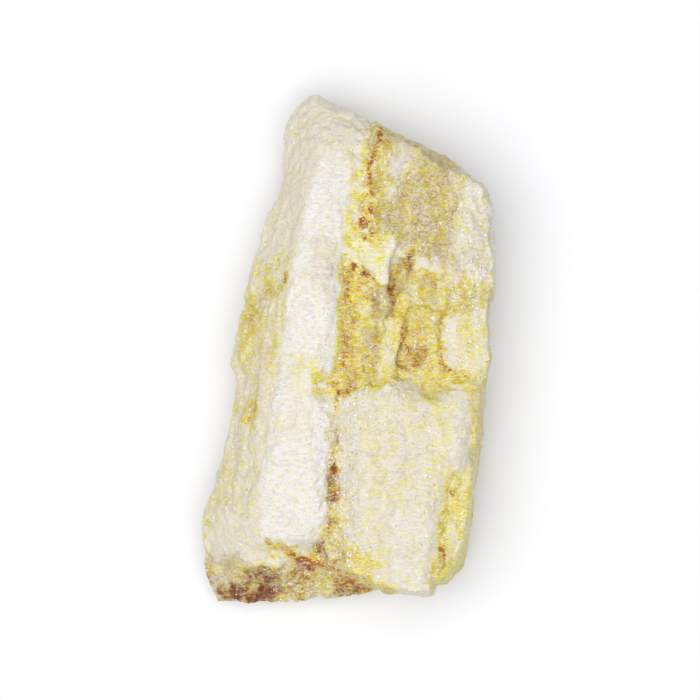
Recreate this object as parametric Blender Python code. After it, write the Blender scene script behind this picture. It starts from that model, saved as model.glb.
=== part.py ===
"""Petalite crystal: one rough cleavage fragment, lying on its flat back cleavage face.

The cleavage runs along Y, the weathered front looks up (+Z), and the fragment rests on the plane z = 0.
Lengths are in millimetres and are scaled to metres when the mesh is finished.
"""

import random

import bmesh
import bpy
from mathutils import Matrix, Vector
from mathutils.bvhtree import BVHTree

MM = 0.001
SEED = 53

# Sizes: how far each corner of the body strays from its edge, the length below which an edge is a sliver, a
# height over the whole fragment, a depth below it, and a distance that is outside it on every side.
STRAY = 0.1
SLIVER = 0.001
ABOVE_ALL = 24.0
BELOW_ALL = -3.0
FAR = 60.0

# The corner of an outline is mitred no further than this share of its angle allows.
SHARPEST_MITRE = 0.6

# How far an extra corner of a ragged outline slides along its side, as a share of the step.
CORNER_SLIDE = 0.25

# Ragged outlines: the step between extra corners, and how far they go in or out.
BLOCK_EDGE = (1.3, 0.16)
PLATE_EDGE = (1.4, 0.14)
PIT_EDGE = (1.2, 0.16)
TERRACE_EDGE = (2.0, 0.35)
LEAF_EDGE = (2.2, 0.14)

# A laid plate: how deep it is rooted in the body, and how much its walls spread with depth.
PLATE_ROOT = 4.0
PLATE_DRAFT = 0.1

# A leaf: its corners as shares of its width and length, how far they wander, how much its front tilts
# across and along, the least area that still gives it a plane, and how closely it fits the body it is laid
# on.
LEAF_CORNERS = [(-0.2, -0.5), (0.35, -0.42), (0.5, 0.1), (0.15, 0.5), (-0.3, 0.36), (-0.5, -0.1)]
LEAF_WANDER = 0.12
LEAF_TILT = (0.03, 0.01)
LEAST_AREA = 0.1
LEAF_MISFIT = 0.55
LEAF_DRAFT = 0.1

# A leaf is tried at this many places for each one that is kept.
TRIES_PER_LEAF = 12

# A splinter: where its two rings of corners are along it, the corners as shares of its width and height,
# and how much they vary.
SPLINTER_RINGS = (-0.28, 0.22)
SPLINTER_CORNERS = [(-0.5, -1.2), (0.5, -1.2), (0.15, 1.0), (-0.25, 0.8)]
RING_SLIDE = 0.08
WIDTH_RANGE = (0.8, 1.2)
HEIGHT_RANGE = (0.8, 1.1)

# A grain: its corners, how far they are from its middle, and how deep it is sunk, as shares of its size.
GRAIN_CORNERS = 9
GRAIN_REACH = (0.42, 0.5)
GRAIN_SINK = 0.12

# Small repeats go only where the face looks towards them more squarely than this.
FLAT_ENOUGH = 0.75

# The surface.
PETALITE = (0.78, 0.72, 0.56, 1.0)
FRACTURE_ROUGHNESS = 0.6

# Heights above the rest face.
GIRTH = 8.4
RIDGE = 15.5
RIB_FRONT = 17.0
HOLLOW_FLOOR = 14.9
BENCH_FRONT = 16.0
BLOCK_FRONT = 17.2
STEP_FRONT = 14.6
TOE_FRONT = 12.8

# Stations along Y where the long edges have their corners, from the bottom end to the top end.
STATIONS = [
    -32.0, -30.0, -28.0, -26.2, -24.6, -23.6, -20.6, -16.4, -10.2, -3.6, -1.2, 5.2, 10.4, 13.8,
    17.0, 20.4, 24.2, 26.6, 28.6, 30.4, 32.0,
]
BOTTOM_BREAK = -20.6
TOP_BREAK = 13.8

# The long edges, from the back face's left edge round the left face, the rib, the seam and the bench to the
# back face's right edge. Every corner is (y, x, z).
EDGES = {
    "back left": [
        (-30.2, -13.6, 0), (-26, -15.0, 0), (-20, -15.4, 0), (-12, -12.4, 0), (0, -10.8, 0), (12, -8.2, 0),
        (20, -5.8, 0), (27, -5.4, 0), (29.4, -4.2, 0),
    ],
    "left foot": [
        (-31.3, -15.2, 1.6), (-27, -16.9, 2.8), (-20.6, -17.0, 3.6), (-12, -13.7, 4.0), (-3.6, -12.6, 4.2),
        (-1.2, -13.2, 4.4), (12, -9.9, 4.2), (20, -7.0, 3.8), (27, -7.0, 3.6), (31.0, -5.2, 3.4),
    ],
    "left girth": [
        (-31.7, -16.4, 3.4), (-28.4, -17.6, 5.4), (-22.6, -18.35, 7.0), (-20.6, -18.3, 7.6),
        (-16.8, -16.4, 8.0), (-11.2, -14.8, GIRTH), (-8.0, -14.7, 8.6), (-3.8, -13.7, 8.6),
        (-1.2, -14.6, 8.8), (5.2, -13.2, 8.8), (10.4, -12.0, 8.6), (16.8, -9.9, 8.4), (19.6, -8.2, 8.2),
        (25.0, -7.9, 8.0), (27.4, -8.2, 7.4), (30.2, -6.4, 7.0), (31.6, -5.2, 6.8),
    ],
    "left face": [
        (-31.9, -13.0, 3.6), (-29.4, -13.6, 5.2), (-26.2, -15.0, 9.8), (-20.6, -14.9, 11.7),
        (-11, -12.2, 12.3), (-3.6, -11.2, 12.2), (-1.2, -11.6, 12.3), (5.2, -10.5, 12.5), (12, -8.5, 12.2),
        (18, -6.8, 12.3), (25, -5.9, 11.4), (29.5, -5.1, 9.2), (31.9, -4.6, 7.2),
    ],
    "ridge": [
        (-31.9, -9.4, 4.0), (-29.6, -9.8, 6.2), (-26.9, -11.4, 11.6), (-25.0, -11.2, 12.4),
        (-23.6, -10.7, 14.6), (-16.4, -11.2, 15.0), (-10.2, -9.7, RIDGE), (-3.6, -8.6, 15.7),
        (5.2, -7.5, 15.8), (10.4, -6.9, RIDGE), (13.8, -5.7, 15.6), (20.4, -4.6, 15.0), (26.0, -3.9, 13.6),
        (29.4, -3.6, 10.4), (31.9, -3.8, 7.4),
    ],
    "bevel": [
        (-31.8, -7.0, 4.2), (-29.8, -7.4, 6.4), (-26.8, -8.8, 12.0), (-24.6, -9.4, TOE_FRONT),
        (-23.6, -9.2, 15.6), (-16.4, -10.1, 16.2), (-10.2, -8.5, 16.4), (-3.6, -7.4, 16.5),
        (5.2, -6.2, 16.6), (10.4, -5.6, 16.4), (13.8, -4.4, 16.3), (20.4, -3.4, 15.6), (26.0, -2.6, 14.0),
        (30.2, -2.4, 10.6), (31.6, -2.6, 7.4),
    ],
    "rib": [
        (-31.6, -4.6, 4.4), (-29.6, -4.8, 6.8), (-26.2, -6.4, 12.2), (-24.6, -5.4, 13.0),
        (-23.6, -4.6, 16.2), (-20.6, -2.8, RIB_FRONT), (-16.4, -2.9, 17.1), (-10.2, -3.6, 17.2),
        (-3.6, -3.2, 17.2), (0.4, -1.6, 17.2), (8.0, -0.9, 17.0), (10.4, -0.8, 16.4), (13.8, -0.6, 16.4),
        (17.0, -0.5, 16.0), (24.2, 1.0, 14.8), (27.4, 1.7, 13.2), (29.4, 0.8, 10.4), (30.7, -0.6, 7.4),
    ],
    "seam": [
        (-31.4, -2.4, 4.6), (-29.4, -2.8, 7.4), (-26.2, -4.4, 11.6), (-24.6, -3.9, 12.2),
        (-23.6, -3.4, 14.4), (-20.6, -1.9, 15.8), (-16.4, -2.1, 16.1), (-10.2, -2.8, 16.3),
        (-3.6, -2.2, 15.6), (0.4, -1.0, HOLLOW_FLOOR), (10.4, -0.2, HOLLOW_FLOOR), (17.0, 0.6, 15.1),
        (24.2, 2.1, 14.2), (27.4, 2.6, 12.0), (29.5, 1.6, 7.4),
    ],
    "bed": [
        (-31.0, 0.6, 5.0), (-29.0, 0.6, 9.0), (-26.4, 1.0, 13.4), (-20.6, 1.2, 14.4), (-3.6, 1.6, 15.0),
        (5.2, 2.9, HOLLOW_FLOOR), (13.8, 3.0, 15.1), (24.2, 4.4, 14.4), (28.3, 4.2, 7.8),
    ],
    "middle": [
        (-30.0, 5.6, 5.4), (-29.2, 5.8, 9.6), (-27.6, 6.0, 13.6), (-20.6, 7.0, 14.4), (-3.6, 7.6, 14.5),
        (5.2, 8.2, 14.4), (13.8, 8.8, 15.0), (22.0, 9.2, 14.8), (26.1, 8.8, 8.0),
    ],
    "right bed": [
        (-29.7, 10.6, 5.4), (-29.0, 10.8, 10.0), (-27.6, 11.0, 14.0), (-3.6, 13.4, 14.5), (5.2, 13.6, 14.5),
        (13.8, 14.0, 14.8), (19.8, 14.0, 14.8), (23.2, 14.2, 8.2),
    ],
    "right rim": [
        (-29.4, 12.6, 5.6), (-28.4, 13.0, 10.6), (-26.6, 14.0, STEP_FRONT), (-20.6, 15.0, 14.8),
        (-10.2, 16.0, 14.6), (-3.6, 16.9, 14.4), (5.2, 17.0, 14.6), (13.8, 17.3, 15.0), (17.2, 17.5, 14.8),
        (20.9, 16.9, 8.6),
    ],
    "right girth": [
        (-29.0, 13.8, 5.4), (-27.2, 14.9, 7.0), (-24.6, 15.5, 8.0), (-16.4, 16.1, 8.2), (-10.2, 16.7, 8.2),
        (-3.6, 17.5, GIRTH), (-1.2, 18.0, GIRTH), (5.2, 17.4, 8.2), (10.4, 18.35, 8.2), (13.8, 17.6, 8.2),
        (17.4, 18.3, 8.0), (19.6, 17.9, 7.6),
    ],
    "right foot": [
        (-28.4, 13.0, 2.4), (-24.6, 14.6, 3.4), (-10.2, 15.9, 3.8), (-1.2, 16.8, 3.6), (10.4, 17.0, 3.6),
        (16.8, 16.9, 3.4), (19.2, 16.6, 3.2),
    ],
    "back right": [
        (-27.4, 12.2, 0), (-22, 13.6, 0), (-10, 14.6, 0), (0, 15.4, 0), (10.4, 15.8, 0), (16, 15.6, 0),
        (18.4, 14.8, 0),
    ],
}


# ---------------------------------------------------------------- the body between the long edges


def station_on(edge, station):
    """The point of an edge at a station. Near both ends the stations close up, to finish where the edge
    does."""
    start, end = edge[0][0], edge[-1][0]
    y = station
    if station > TOP_BREAK:
        y = TOP_BREAK + (station - TOP_BREAK) * (end - TOP_BREAK) / (STATIONS[-1] - TOP_BREAK)
    if station < BOTTOM_BREAK:
        y = BOTTOM_BREAK + (station - BOTTOM_BREAK) * (start - BOTTOM_BREAK) / (STATIONS[0] - BOTTOM_BREAK)
    y = min(end, max(start, y))
    for (y0, x0, z0), (y1, x1, z1) in zip(edge, edge[1:]):
        if y <= y1:
            share = (y - y0) / (y1 - y0)
            return Vector((x0 + share * (x1 - x0), y, z0 + share * (z1 - z0)))
    return Vector((edge[-1][1], end, edge[-1][2]))


def fragment(rng):
    """The closed body: flat facets between neighbouring long edges, and an end face at both ends."""
    bm = bmesh.new()
    rows = []
    for edge in EDGES.values():
        row = []
        for station in STATIONS:
            point = station_on(edge, station)
            if point.z > 0.0:
                point += Vector([rng.uniform(-STRAY, STRAY) for _ in range(3)])
            row.append(bm.verts.new(point))
        rows.append(row)
    for row, following in zip(rows, rows[1:] + rows[:1]):
        for k in range(len(STATIONS) - 1):
            bm.faces.new((row[k], row[k + 1], following[k + 1], following[k]))
    bm.faces.new([row[0] for row in rows])
    bm.faces.new([row[-1] for row in reversed(rows)])
    bmesh.ops.triangulate(bm, faces=bm.faces[:], quad_method="SHORT_EDGE", ngon_method="BEAUTY")
    return bm


# ---------------------------------------------------------------- plates and pits


def side_frame(out, up):
    """The matrix whose columns are the across, up and outward directions of a side of the body."""
    out = Vector(out).normalized()
    up = Vector(up)
    up = (up - out * up.dot(out)).normalized()
    return Matrix((up.cross(out), up, out)).transposed()


FRONT = side_frame((0, 0, 1), (0, 1, 0))
LEFT = side_frame((-1, -0.12, 0.85), (0, 1, 0))
LEFT_WALL = side_frame((-1, 0, -0.25), (0, 1, 0))
RIGHT_WALL = side_frame((1, 0, 0), (0, 1, 0))
TOP_WALL = side_frame((0.5, 1, 0.15), (0, 0, 1))
BOTTOM_WALL = side_frame((0, -1, 0.5), (0, 0, 1))


def offset(outline, distance):
    """The outline moved outwards by a distance, with mitred corners."""
    moved = []
    for before, here, after in zip(outline[-1:] + outline[:-1], outline, outline[1:] + outline[:1]):
        first = (here - before).normalized()
        second = (after - here).normalized()
        normal = Vector((first.y + second.y, -first.x - second.x)).normalized()
        share = max(SHARPEST_MITRE, normal.dot(Vector((first.y, -first.x))))
        moved.append(here + normal * distance / share)
    return moved


def ragged(outline, edge, rng):
    """The outline with extra corners about a step apart, each pushed in or out by up to the depth."""
    step, depth = edge
    points = []
    corners = [Vector(p) for p in outline]
    for a, b in zip(corners, corners[1:] + corners[:1]):
        length = (b - a).length
        normal = Vector(((b - a).y, -(b - a).x)) / length
        pieces = max(1, round(length / step))
        points.append(a)
        for k in range(1, pieces):
            share = (k + rng.uniform(-CORNER_SLIDE, CORNER_SLIDE)) / pieces
            points.append(a.lerp(b, share) + normal * rng.uniform(-depth, depth))
    return points


def height_on(plane, first, p):
    """The height at p of a plane given by its height at the first corner and its two slopes."""
    return plane[0] + plane[1] * (p.x - first.x) + plane[2] * (p.y - first.y)


def prism(lower, upper):
    """The closed solid between two polygons with the same number of corners."""
    bm = bmesh.new()
    bottom = [bm.verts.new(p) for p in lower]
    top = [bm.verts.new(p) for p in upper]
    bm.faces.new(top)
    bm.faces.new(bottom[::-1])
    for k in range(len(top)):
        n = (k + 1) % len(top)
        bm.faces.new((bottom[k], bottom[n], top[n], top[k]))
    return bm


def slab(outline, plane, foot, draft, frame=FRONT):
    """A cleavage plate: a prism along the frame's outward direction, with a flat front on the plane. The
    walls spread by the draft for each unit of depth, down to the foot."""
    heights = [height_on(plane, outline[0], p) for p in outline]
    spread = offset(outline, draft * (sum(heights) / len(heights) - foot))
    lower = [frame @ Vector((p.x, p.y, foot)) for p in spread]
    upper = [frame @ Vector((p.x, p.y, h)) for p, h in zip(outline, heights)]
    return prism(lower, upper)


def pit(outline, floor, draft):
    """The cutter of a sunken place of the front, with a flat floor on the plane and walls that open
    upwards."""
    depth = ABOVE_ALL - floor[0]
    lower = [Vector((p.x, p.y, height_on(floor, outline[0], p))) for p in outline]
    upper = [Vector((p.x, p.y, ABOVE_ALL)) for p in offset(outline, draft * depth)]
    return prism(lower, upper)


def surface_height(tree, frame, x, y):
    """How far out the body reaches at a place seen along the frame's outward direction, or None beside
    the body."""
    place, _, _, _ = tree.ray_cast(frame @ Vector((x, y, FAR)), -(frame @ Vector((0, 0, 1))))
    if place is None:
        return None
    return (frame.transposed() @ place).z


def lying_plane(tree, frame, outline):
    """The plane through three spread corners of the outline, where they meet the body."""
    count = len(outline)
    corners = [outline[0], outline[count // 3], outline[(2 * count) // 3]]
    heights = [surface_height(tree, frame, p.x, p.y) for p in corners]
    if None in heights:
        return None
    a, b = corners[1] - corners[0], corners[2] - corners[0]
    rise_a, rise_b = heights[1] - heights[0], heights[2] - heights[0]
    area = a.x * b.y - a.y * b.x
    if abs(area) < LEAST_AREA:
        return None
    slope_x = (rise_a * b.y - rise_b * a.y) / area
    slope_y = (rise_b * a.x - rise_a * b.x) / area
    return heights[0], slope_x, slope_y


def leaf(tree, frame, centre, length, width, lift, rng):
    """A thin ragged cleavage leaf that lies on the body, longer along the frame's up direction. None
    where the body is not flat enough to carry it."""
    corners = []
    for across, along in LEAF_CORNERS:
        x = centre[0] + width * (across + rng.uniform(-LEAF_WANDER, LEAF_WANDER))
        y = centre[1] + length * (along + rng.uniform(-LEAF_WANDER, LEAF_WANDER))
        corners.append(Vector((x, y)))
    plane = lying_plane(tree, frame, corners)
    if plane is None:
        return None
    outline = ragged(corners, LEAF_EDGE, rng)
    tilts = [rng.uniform(-tilt, tilt) for tilt in LEAF_TILT]
    front = (plane[0] + lift, plane[1] + tilts[0], plane[2] + tilts[1])
    for p in corners:
        reached = surface_height(tree, frame, p.x, p.y)
        if reached is None or abs(height_on(front, outline[0], p) - reached) > LEAF_MISFIT:
            return None
    lowest = min(height_on(front, outline[0], p) for p in outline)
    return slab(outline, front, lowest - lift - LEAF_MISFIT, LEAF_DRAFT, frame)


def leaves(body, frame, box, count, length, width, lift, rng):
    """Leaves spread over the part of the body inside a box of the frame."""
    tree = BVHTree.FromObject(body, bpy.context.evaluated_depsgraph_get())
    found = []
    for _ in range(TRIES_PER_LEAF * count):
        centre = (rng.uniform(box[0], box[2]), rng.uniform(box[1], box[3]))
        solid = leaf(tree, frame, centre, rng.uniform(*length), rng.uniform(*width), rng.uniform(*lift), rng)
        if solid is not None:
            found.append(solid)
        if len(found) == count:
            break
    return found


def front_blocks(rng):
    """The raised blocks of the front: outline, front plane, foot, draft."""
    blocks = [
        # the large lower right block
        ([(-0.6, -26.6), (1.2, -27.5), (5.4, -29.5), (10.4, -29.8), (11.4, -21.8), (12.1, -18.4),
          (12.4, -15.4), (14.9, -14.2), (14.7, -11.2), (14.5, -4.0), (10.9, -6.5), (9.6, -6.1),
          (7.8, -3.9), (5.9, -4.0), (1.7, -4.6), (0.2, -6.5), (0.6, -10.5), (0.9, -20.0)],
         (BLOCK_FRONT, 0.01, 0.01), 9.0, 0.12),
        # its flank, which falls away into the seam
        ([(-4.2, -25.6), (-0.6, -26.8), (1.4, -26.0), (1.6, -7.6), (-2.0, -6.6), (-2.3, -10.2), (-1.5, -15.2),
          (-1.5, -19.5)],
         (14.6, 0.42, 0.01), 9.0, 0.25),
        # the middle of the bench
        ([(2.6, 12.4), (8.2, 11.2), (13.4, 7.8), (14.2, 12.0), (14.4, 20.6), (9.0, 24.6), (3.9, 27.4),
          (2.8, 24.0), (1.5, 17.2)],
         (BENCH_FRONT - 0.5, 0.0, 0.0), 10.0, 0.2),
        # the bright plate on its right
        ([(13.4, 8.6), (15.0, 7.4), (16.2, 7.8), (17.9, 6.6), (18.2, 11.4), (17.5, 14.2), (18.0, 17.8),
          (17.0, 20.2), (12.4, 22.6), (13.4, 18.0), (12.5, 13.4), (13.6, 10.6)],
         (BENCH_FRONT + 0.1, -0.05, 0.0), 9.0, 0.06),
        # the light streaks between the seam and the middle of the bench
        ([(4.0, 15.4), (6.0, 16.8), (6.8, 20.0), (5.8, 25.4), (4.6, 26.6), (3.7, 21.0)],
         (BENCH_FRONT - 0.4, 0.12, 0.01), 12.0, 0.3),
        ([(2.1, 19.4), (3.4, 20.6), (3.9, 25.0), (3.2, 27.6), (2.4, 24.4)],
         (BENCH_FRONT - 1.2, 0.16, -0.02), 12.0, 0.25),
        # the white tooth that ends over the hollow
        ([(0.1, 12.2), (0.7, 11.0), (1.7, 10.3), (3.1, 9.9), (3.4, 8.7), (4.3, 7.9), (5.1, 7.9), (5.4, 9.8),
          (5.9, 12.0), (6.6, 14.0), (3.6, 17.4), (1.0, 17.0)],
         (16.3, -0.01, -0.03), 10.0, 0.02),
        # the shelf between the notch and the bright plate
        ([(7.6, 7.8), (8.4, 6.2), (10.6, 5.0), (13.4, 6.0), (14.0, 9.4), (11.0, 12.0), (8.2, 12.4)],
         (15.2, 0.03, 0.08), 10.0, 0.5),
        # the right ledge
        ([(11.5, -0.2), (12.1, -2.1), (14.1, -2.7), (15.5, -3.4), (17.3, -3.7), (17.9, -1.0), (17.5, 4.4),
          (17.6, 8.2), (13.2, 8.4), (12.6, 5.0), (11.5, 3.9)],
         (15.4, 0.03, 0.06), 9.0, 0.04),
        # the hump in the hollow
        ([(1.2, -2.6), (3.0, -3.2), (4.4, -1.6), (4.4, 0.6), (3.6, 2.0), (1.8, 2.0), (0.8, 0.2)],
         (15.3, 0.05, 0.03), 10.0, 0.8),
        # the light ridge across the hollow
        ([(4.6, -3.8), (5.9, -3.4), (6.6, 0.4), (7.3, 1.8), (7.1, 4.2), (8.4, 6.6), (6.4, 7.6), (5.4, 4.8),
          (4.6, 2.0)],
         (15.7, 0.02, 0.01), 10.0, 0.3),
        # the heel that joins the rib to the block, under the end of the hollow
        ([(-3.0, -9.0), (1.0, -8.6), (2.0, -4.8), (0.4, -4.6), (-2.4, -6.2)],
         (15.8, 0.22, 0.0), 10.0, 0.35),
        # the toe under the end of the rib
        ([(-13.6, -24.4), (-13.2, -25.9), (-11.4, -26.9), (-9.0, -27.5), (-7.0, -25.8), (-5.2, -24.4),
          (-6.0, -22.6), (-12.4, -22.2)],
         (11.8, 0.24, 0.1), 8.0, 0.12),
        # the strip beside the block
        ([(11.0, -28.6), (13.1, -28.4), (15.0, -22.2), (15.7, -15.8), (15.3, -13.2), (11.0, -13.4)],
         (STEP_FRONT + 1.1, 0.0, 0.02), 9.0, 0.08),
        ([(13.6, -12.6), (16.2, -12.2), (16.9, -4.2), (14.0, -3.6)],
         (STEP_FRONT + 1.9, -0.1, 0.0), 9.0, 0.08),
    ]
    return [
        slab(ragged(outline, BLOCK_EDGE, rng), plane, foot, draft)
        for outline, plane, foot, draft in blocks
    ]


def laid_plates(body, rng):
    """The plates that follow the front they lie on: outline and lift."""
    plates = [
        # the lower and the upper length of the rib
        ([(-10.5, -23.2), (-5.4, -23.6), (-3.2, -20.2), (-3.4, -15.4), (-4.1, -10.2), (-3.8, -4.0),
          (-2.2, 0.2), (-1.3, 9.4), (-3.2, 10.6), (-5.9, 9.4), (-7.3, 3.0), (-8.3, -3.0), (-9.7, -12.0)],
         0.15),
        ([(-4.4, 13.2), (-3.4, 11.4), (-2.4, 12.6), (-1.2, 13.4), (-0.9, 17.0), (0.4, 24.0), (-1.0, 26.2),
          (-3.0, 24.8), (-3.4, 18.0)], 0.3),
        # a worn corner where the left face meets the rib's lower end
        ([(-13.2, -21.6), (-11.4, -22.0), (-10.4, -18.4), (-11.6, -17.2)], 0.35),
        # the chip on the ridge
        ([(-8.4, 5.2), (-6.6, 5.0), (-6.2, 9.0), (-7.2, 9.4)], 0.35),
    ]
    tree = BVHTree.FromObject(body, bpy.context.evaluated_depsgraph_get())
    solids = []
    for corners, lift in plates:
        outline = ragged(corners, PLATE_EDGE, rng)
        height, slope_x, slope_y = lying_plane(tree, FRONT, outline)
        solids.append(slab(outline, (height + lift, slope_x, slope_y), height - PLATE_ROOT, PLATE_DRAFT))
    return solids


def front_pits(rng):
    """Sunken places of the front: outline, floor plane, and how far the walls open upwards."""
    pits = [
        # the dark notch beside the tooth
        ([(5.5, 8.0), (6.0, 6.9), (7.4, 8.8), (8.0, 11.8), (5.6, 10.6)], (13.8, 0.3, 0.1), 0.05),
        # the pocket right of the light ridge
        ([(6.1, -3.2), (9.4, -4.2), (11.6, -2.4), (11.5, 2.2), (10.6, 4.4), (8.6, 4.6), (7.3, 1.4),
          (6.6, 0.2)],
         (13.5, 0.1, 0.17), 0.1),
        # the pit in the lower seam
        ([(-2.1, -18.6), (-1.5, -17.6), (-1.3, -16.4), (-1.7, -14.8), (-2.2, -16.2)],
         (14.6, 0.0, 0.04), 0.1),
        # the broken place where the rib, the toe and the block meet
        ([(-5.8, -26.6), (-3.8, -27.4), (-2.8, -25.4), (-3.2, -24.2), (-4.6, -24.8)], (11.6, 0.0, 0.25), 0.1),
        # the step at the left of the hollow, which bites into the rib
        ([(-3.4, -5.8), (-1.8, -6.0), (0.8, -4.6), (0.4, -2.4), (-1.2, -2.6), (-3.2, -4.2)],
         (15.1, 0.0, -0.1), 0.2),
    ]
    return [
        pit(ragged(outline, PIT_EDGE, rng), floor, draft)
        for outline, floor, draft in pits
    ]


def back_terraces(rng):
    """Shallow steps broken out of the back, round the flat place the fragment rests on."""
    terraces = [
        ([(-16.0, -31.0), (-6.0, -31.0), (-8.4, -26.0), (-9.0, -18.0), (-11.0, -14.0), (-17.0, -14.0)], 0.5),
        ([(3.0, 14.0), (10.0, 12.6), (17.0, 12.0), (17.0, 20.0), (4.0, 26.0)], 0.45),
        ([(8.0, -28.5), (14.6, -28.5), (15.4, -12.0), (12.6, -13.0), (10.6, -20.0)], 0.35),
        ([(-9.4, 16.0), (-6.2, 15.0), (-2.6, 22.0), (-3.6, 31.0), (-7.4, 31.0)], 0.4),
    ]
    return [
        slab(ragged(outline, TERRACE_EDGE, rng), (depth, 0.0, 0.0), BELOW_ALL, 0.0)
        for outline, depth in terraces
    ]


# ---------------------------------------------------------------- small repeats


def hull(points):
    """The closed convex solid round the points."""
    bm = bmesh.new()
    for p in points:
        bm.verts.new(p)
    found = bmesh.ops.convex_hull(bm, input=bm.verts[:])
    inside = [v for v in found["geom_interior"] + found["geom_unused"] if isinstance(v, bmesh.types.BMVert)]
    bmesh.ops.delete(bm, geom=list(set(inside)), context="VERTS")
    return bm


def splinter(place, along, normal, size, rng):
    """A long thin shard that lies on a face, sunk to about half its height."""
    length, width, height = size
    side = normal.cross(along).normalized()
    points = [place - along * length * 0.5 - normal * height, place + along * length * 0.5 - normal * height]
    for ring in SPLINTER_RINGS:
        for across, up in SPLINTER_CORNERS:
            points.append(
                place
                + along * length * (ring + rng.uniform(-RING_SLIDE, RING_SLIDE))
                + side * width * across * rng.uniform(*WIDTH_RANGE)
                + normal * height * up * rng.uniform(*HEIGHT_RANGE)
            )
    return hull(points)


def grain(place, _along, normal, size, rng):
    """A rough angular lump, more than half sunk in the face."""
    centre = place - normal * size[0] * GRAIN_SINK
    points = []
    for _ in range(GRAIN_CORNERS):
        direction = Vector([rng.gauss(0.0, 1.0) for _ in range(3)]).normalized()
        points.append(centre + direction * size[0] * rng.uniform(*GRAIN_REACH))
    return hull(points)


def scattered(body, make, count, frame, box, low, high, rng):
    """Small solids where rays from the box of the frame meet the body, each of a size between low and
    high."""
    tree = BVHTree.FromObject(body, bpy.context.evaluated_depsgraph_get())
    inward = -(frame @ Vector((0, 0, 1)))
    up = frame @ Vector((0, 1, 0))
    solids = []
    for _ in range(count):
        start = frame @ Vector((rng.uniform(box[0], box[2]), rng.uniform(box[1], box[3]), FAR))
        place, normal, _, _ = tree.ray_cast(start, inward)
        if place is None or normal.dot(inward) > -FLAT_ENOUGH:
            continue
        along = (up - normal * up.dot(normal)).normalized()
        size = [rng.uniform(a, b) for a, b in zip(low, high)]
        solids.append(make(place, along, normal, size, rng))
    return solids


# Leaves: frame, box in the frame, count, and the ranges of their length, width and lift.
LEAF_PATCHES = [
    (LEFT, (-5.5, -25.0, 3.5, -4.0), 6, (7.0, 16.0), (1.2, 2.6), (0.2, 0.4)),
    (LEFT, (-2.0, -4.0, 6.0, 12.0), 6, (6.0, 14.0), (1.0, 2.2), (0.2, 0.4)),
    (LEFT, (1.0, 12.0, 8.0, 26.0), 4, (5.0, 10.0), (1.0, 2.0), (0.2, 0.35)),
    (FRONT, (-9.0, -20.0, -2.5, 8.0), 3, (5.0, 11.0), (0.8, 1.6), (0.15, 0.3)),
    (FRONT, (1.0, -27.0, 12.0, -7.0), 4, (7.0, 14.0), (2.4, 4.8), (0.2, 0.35)),
    (FRONT, (0.5, -3.0, 11.0, 7.0), 4, (2.0, 5.0), (1.0, 2.0), (0.2, 0.5)),
    (FRONT, (6.5, 11.0, 13.5, 23.0), 5, (5.0, 9.0), (0.9, 1.8), (0.2, 0.45)),
    (FRONT, (13.5, 8.0, 17.4, 20.0), 4, (3.0, 7.0), (1.0, 2.0), (0.2, 0.4)),
    (RIGHT_WALL, (-14.0, -24.0, -2.5, 16.0), 9, (8.0, 18.0), (1.6, 4.0), (0.2, 0.5)),
    (LEFT_WALL, (5.0, -24.0, 9.0, 24.0), 5, (8.0, 16.0), (1.2, 2.4), (0.15, 0.3)),
    (TOP_WALL, (-12.0, 4.5, 6.0, 11.0), 4, (3.0, 5.0), (2.0, 4.0), (0.2, 0.5)),
]

# Small repeats: what, frame, box in the frame, count, least and greatest size.
GRAIN_PATCHES = [
    (splinter, FRONT, (4.0, 11.0, 13.0, 25.0), 22, (2.4, 0.35, 0.15), (6.0, 0.8, 0.35)),
    (splinter, FRONT, (13.0, 7.0, 17.6, 20.0), 10, (1.6, 0.5, 0.2), (3.2, 1.0, 0.4)),
    (splinter, LEFT, (-4.0, -24.0, 7.0, 24.0), 12, (3.0, 0.35, 0.12), (7.0, 0.8, 0.28)),
    (grain, FRONT, (0.2, -3.5, 12.0, 6.0), 6, (1.0, 0, 0), (2.0, 0, 0)),
    (grain, BOTTOM_WALL, (-9.0, -9.5, 1.0, -1.5), 26, (0.9, 0, 0), (2.2, 0, 0)),
    (grain, BOTTOM_WALL, (-15.0, -9.0, -4.0, -3.0), 8, (1.6, 0, 0), (3.6, 0, 0)),
    (grain, FRONT, (-4.4, -26.0, -1.0, -12.0), 10, (0.6, 0, 0), (1.3, 0, 0)),
    (grain, FRONT, (0.4, 9.0, 2.4, 27.0), 8, (0.7, 0, 0), (1.4, 0, 0)),
]


# ---------------------------------------------------------------- joining


def made_object(name, bm):
    mesh = bpy.data.meshes.new(name)
    bmesh.ops.recalc_face_normals(bm, faces=bm.faces[:])
    bm.to_mesh(mesh)
    bm.free()
    obj = bpy.data.objects.new(name, mesh)
    bpy.context.scene.collection.objects.link(obj)
    return obj


def combine(body, solids, operation):
    """Joins the solids to the body, or cuts them from it, with one Boolean, and removes them."""
    group = bpy.data.collections.new(operation)
    bpy.context.scene.collection.children.link(group)
    helpers = [made_object(f"helper_{k}", bm) for k, bm in enumerate(solids)]
    for helper in helpers:
        bpy.context.scene.collection.objects.unlink(helper)
        group.objects.link(helper)
    modifier = body.modifiers.new(operation, "BOOLEAN")
    modifier.operation = operation
    modifier.operand_type = "COLLECTION"
    modifier.collection = group
    modifier.solver = "EXACT"
    evaluated = body.evaluated_get(bpy.context.evaluated_depsgraph_get())
    mesh = bpy.data.meshes.new_from_object(evaluated)
    body.modifiers.clear()
    body.data = mesh
    for helper in helpers:
        bpy.data.objects.remove(helper)
    bpy.data.collections.remove(group)


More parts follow.
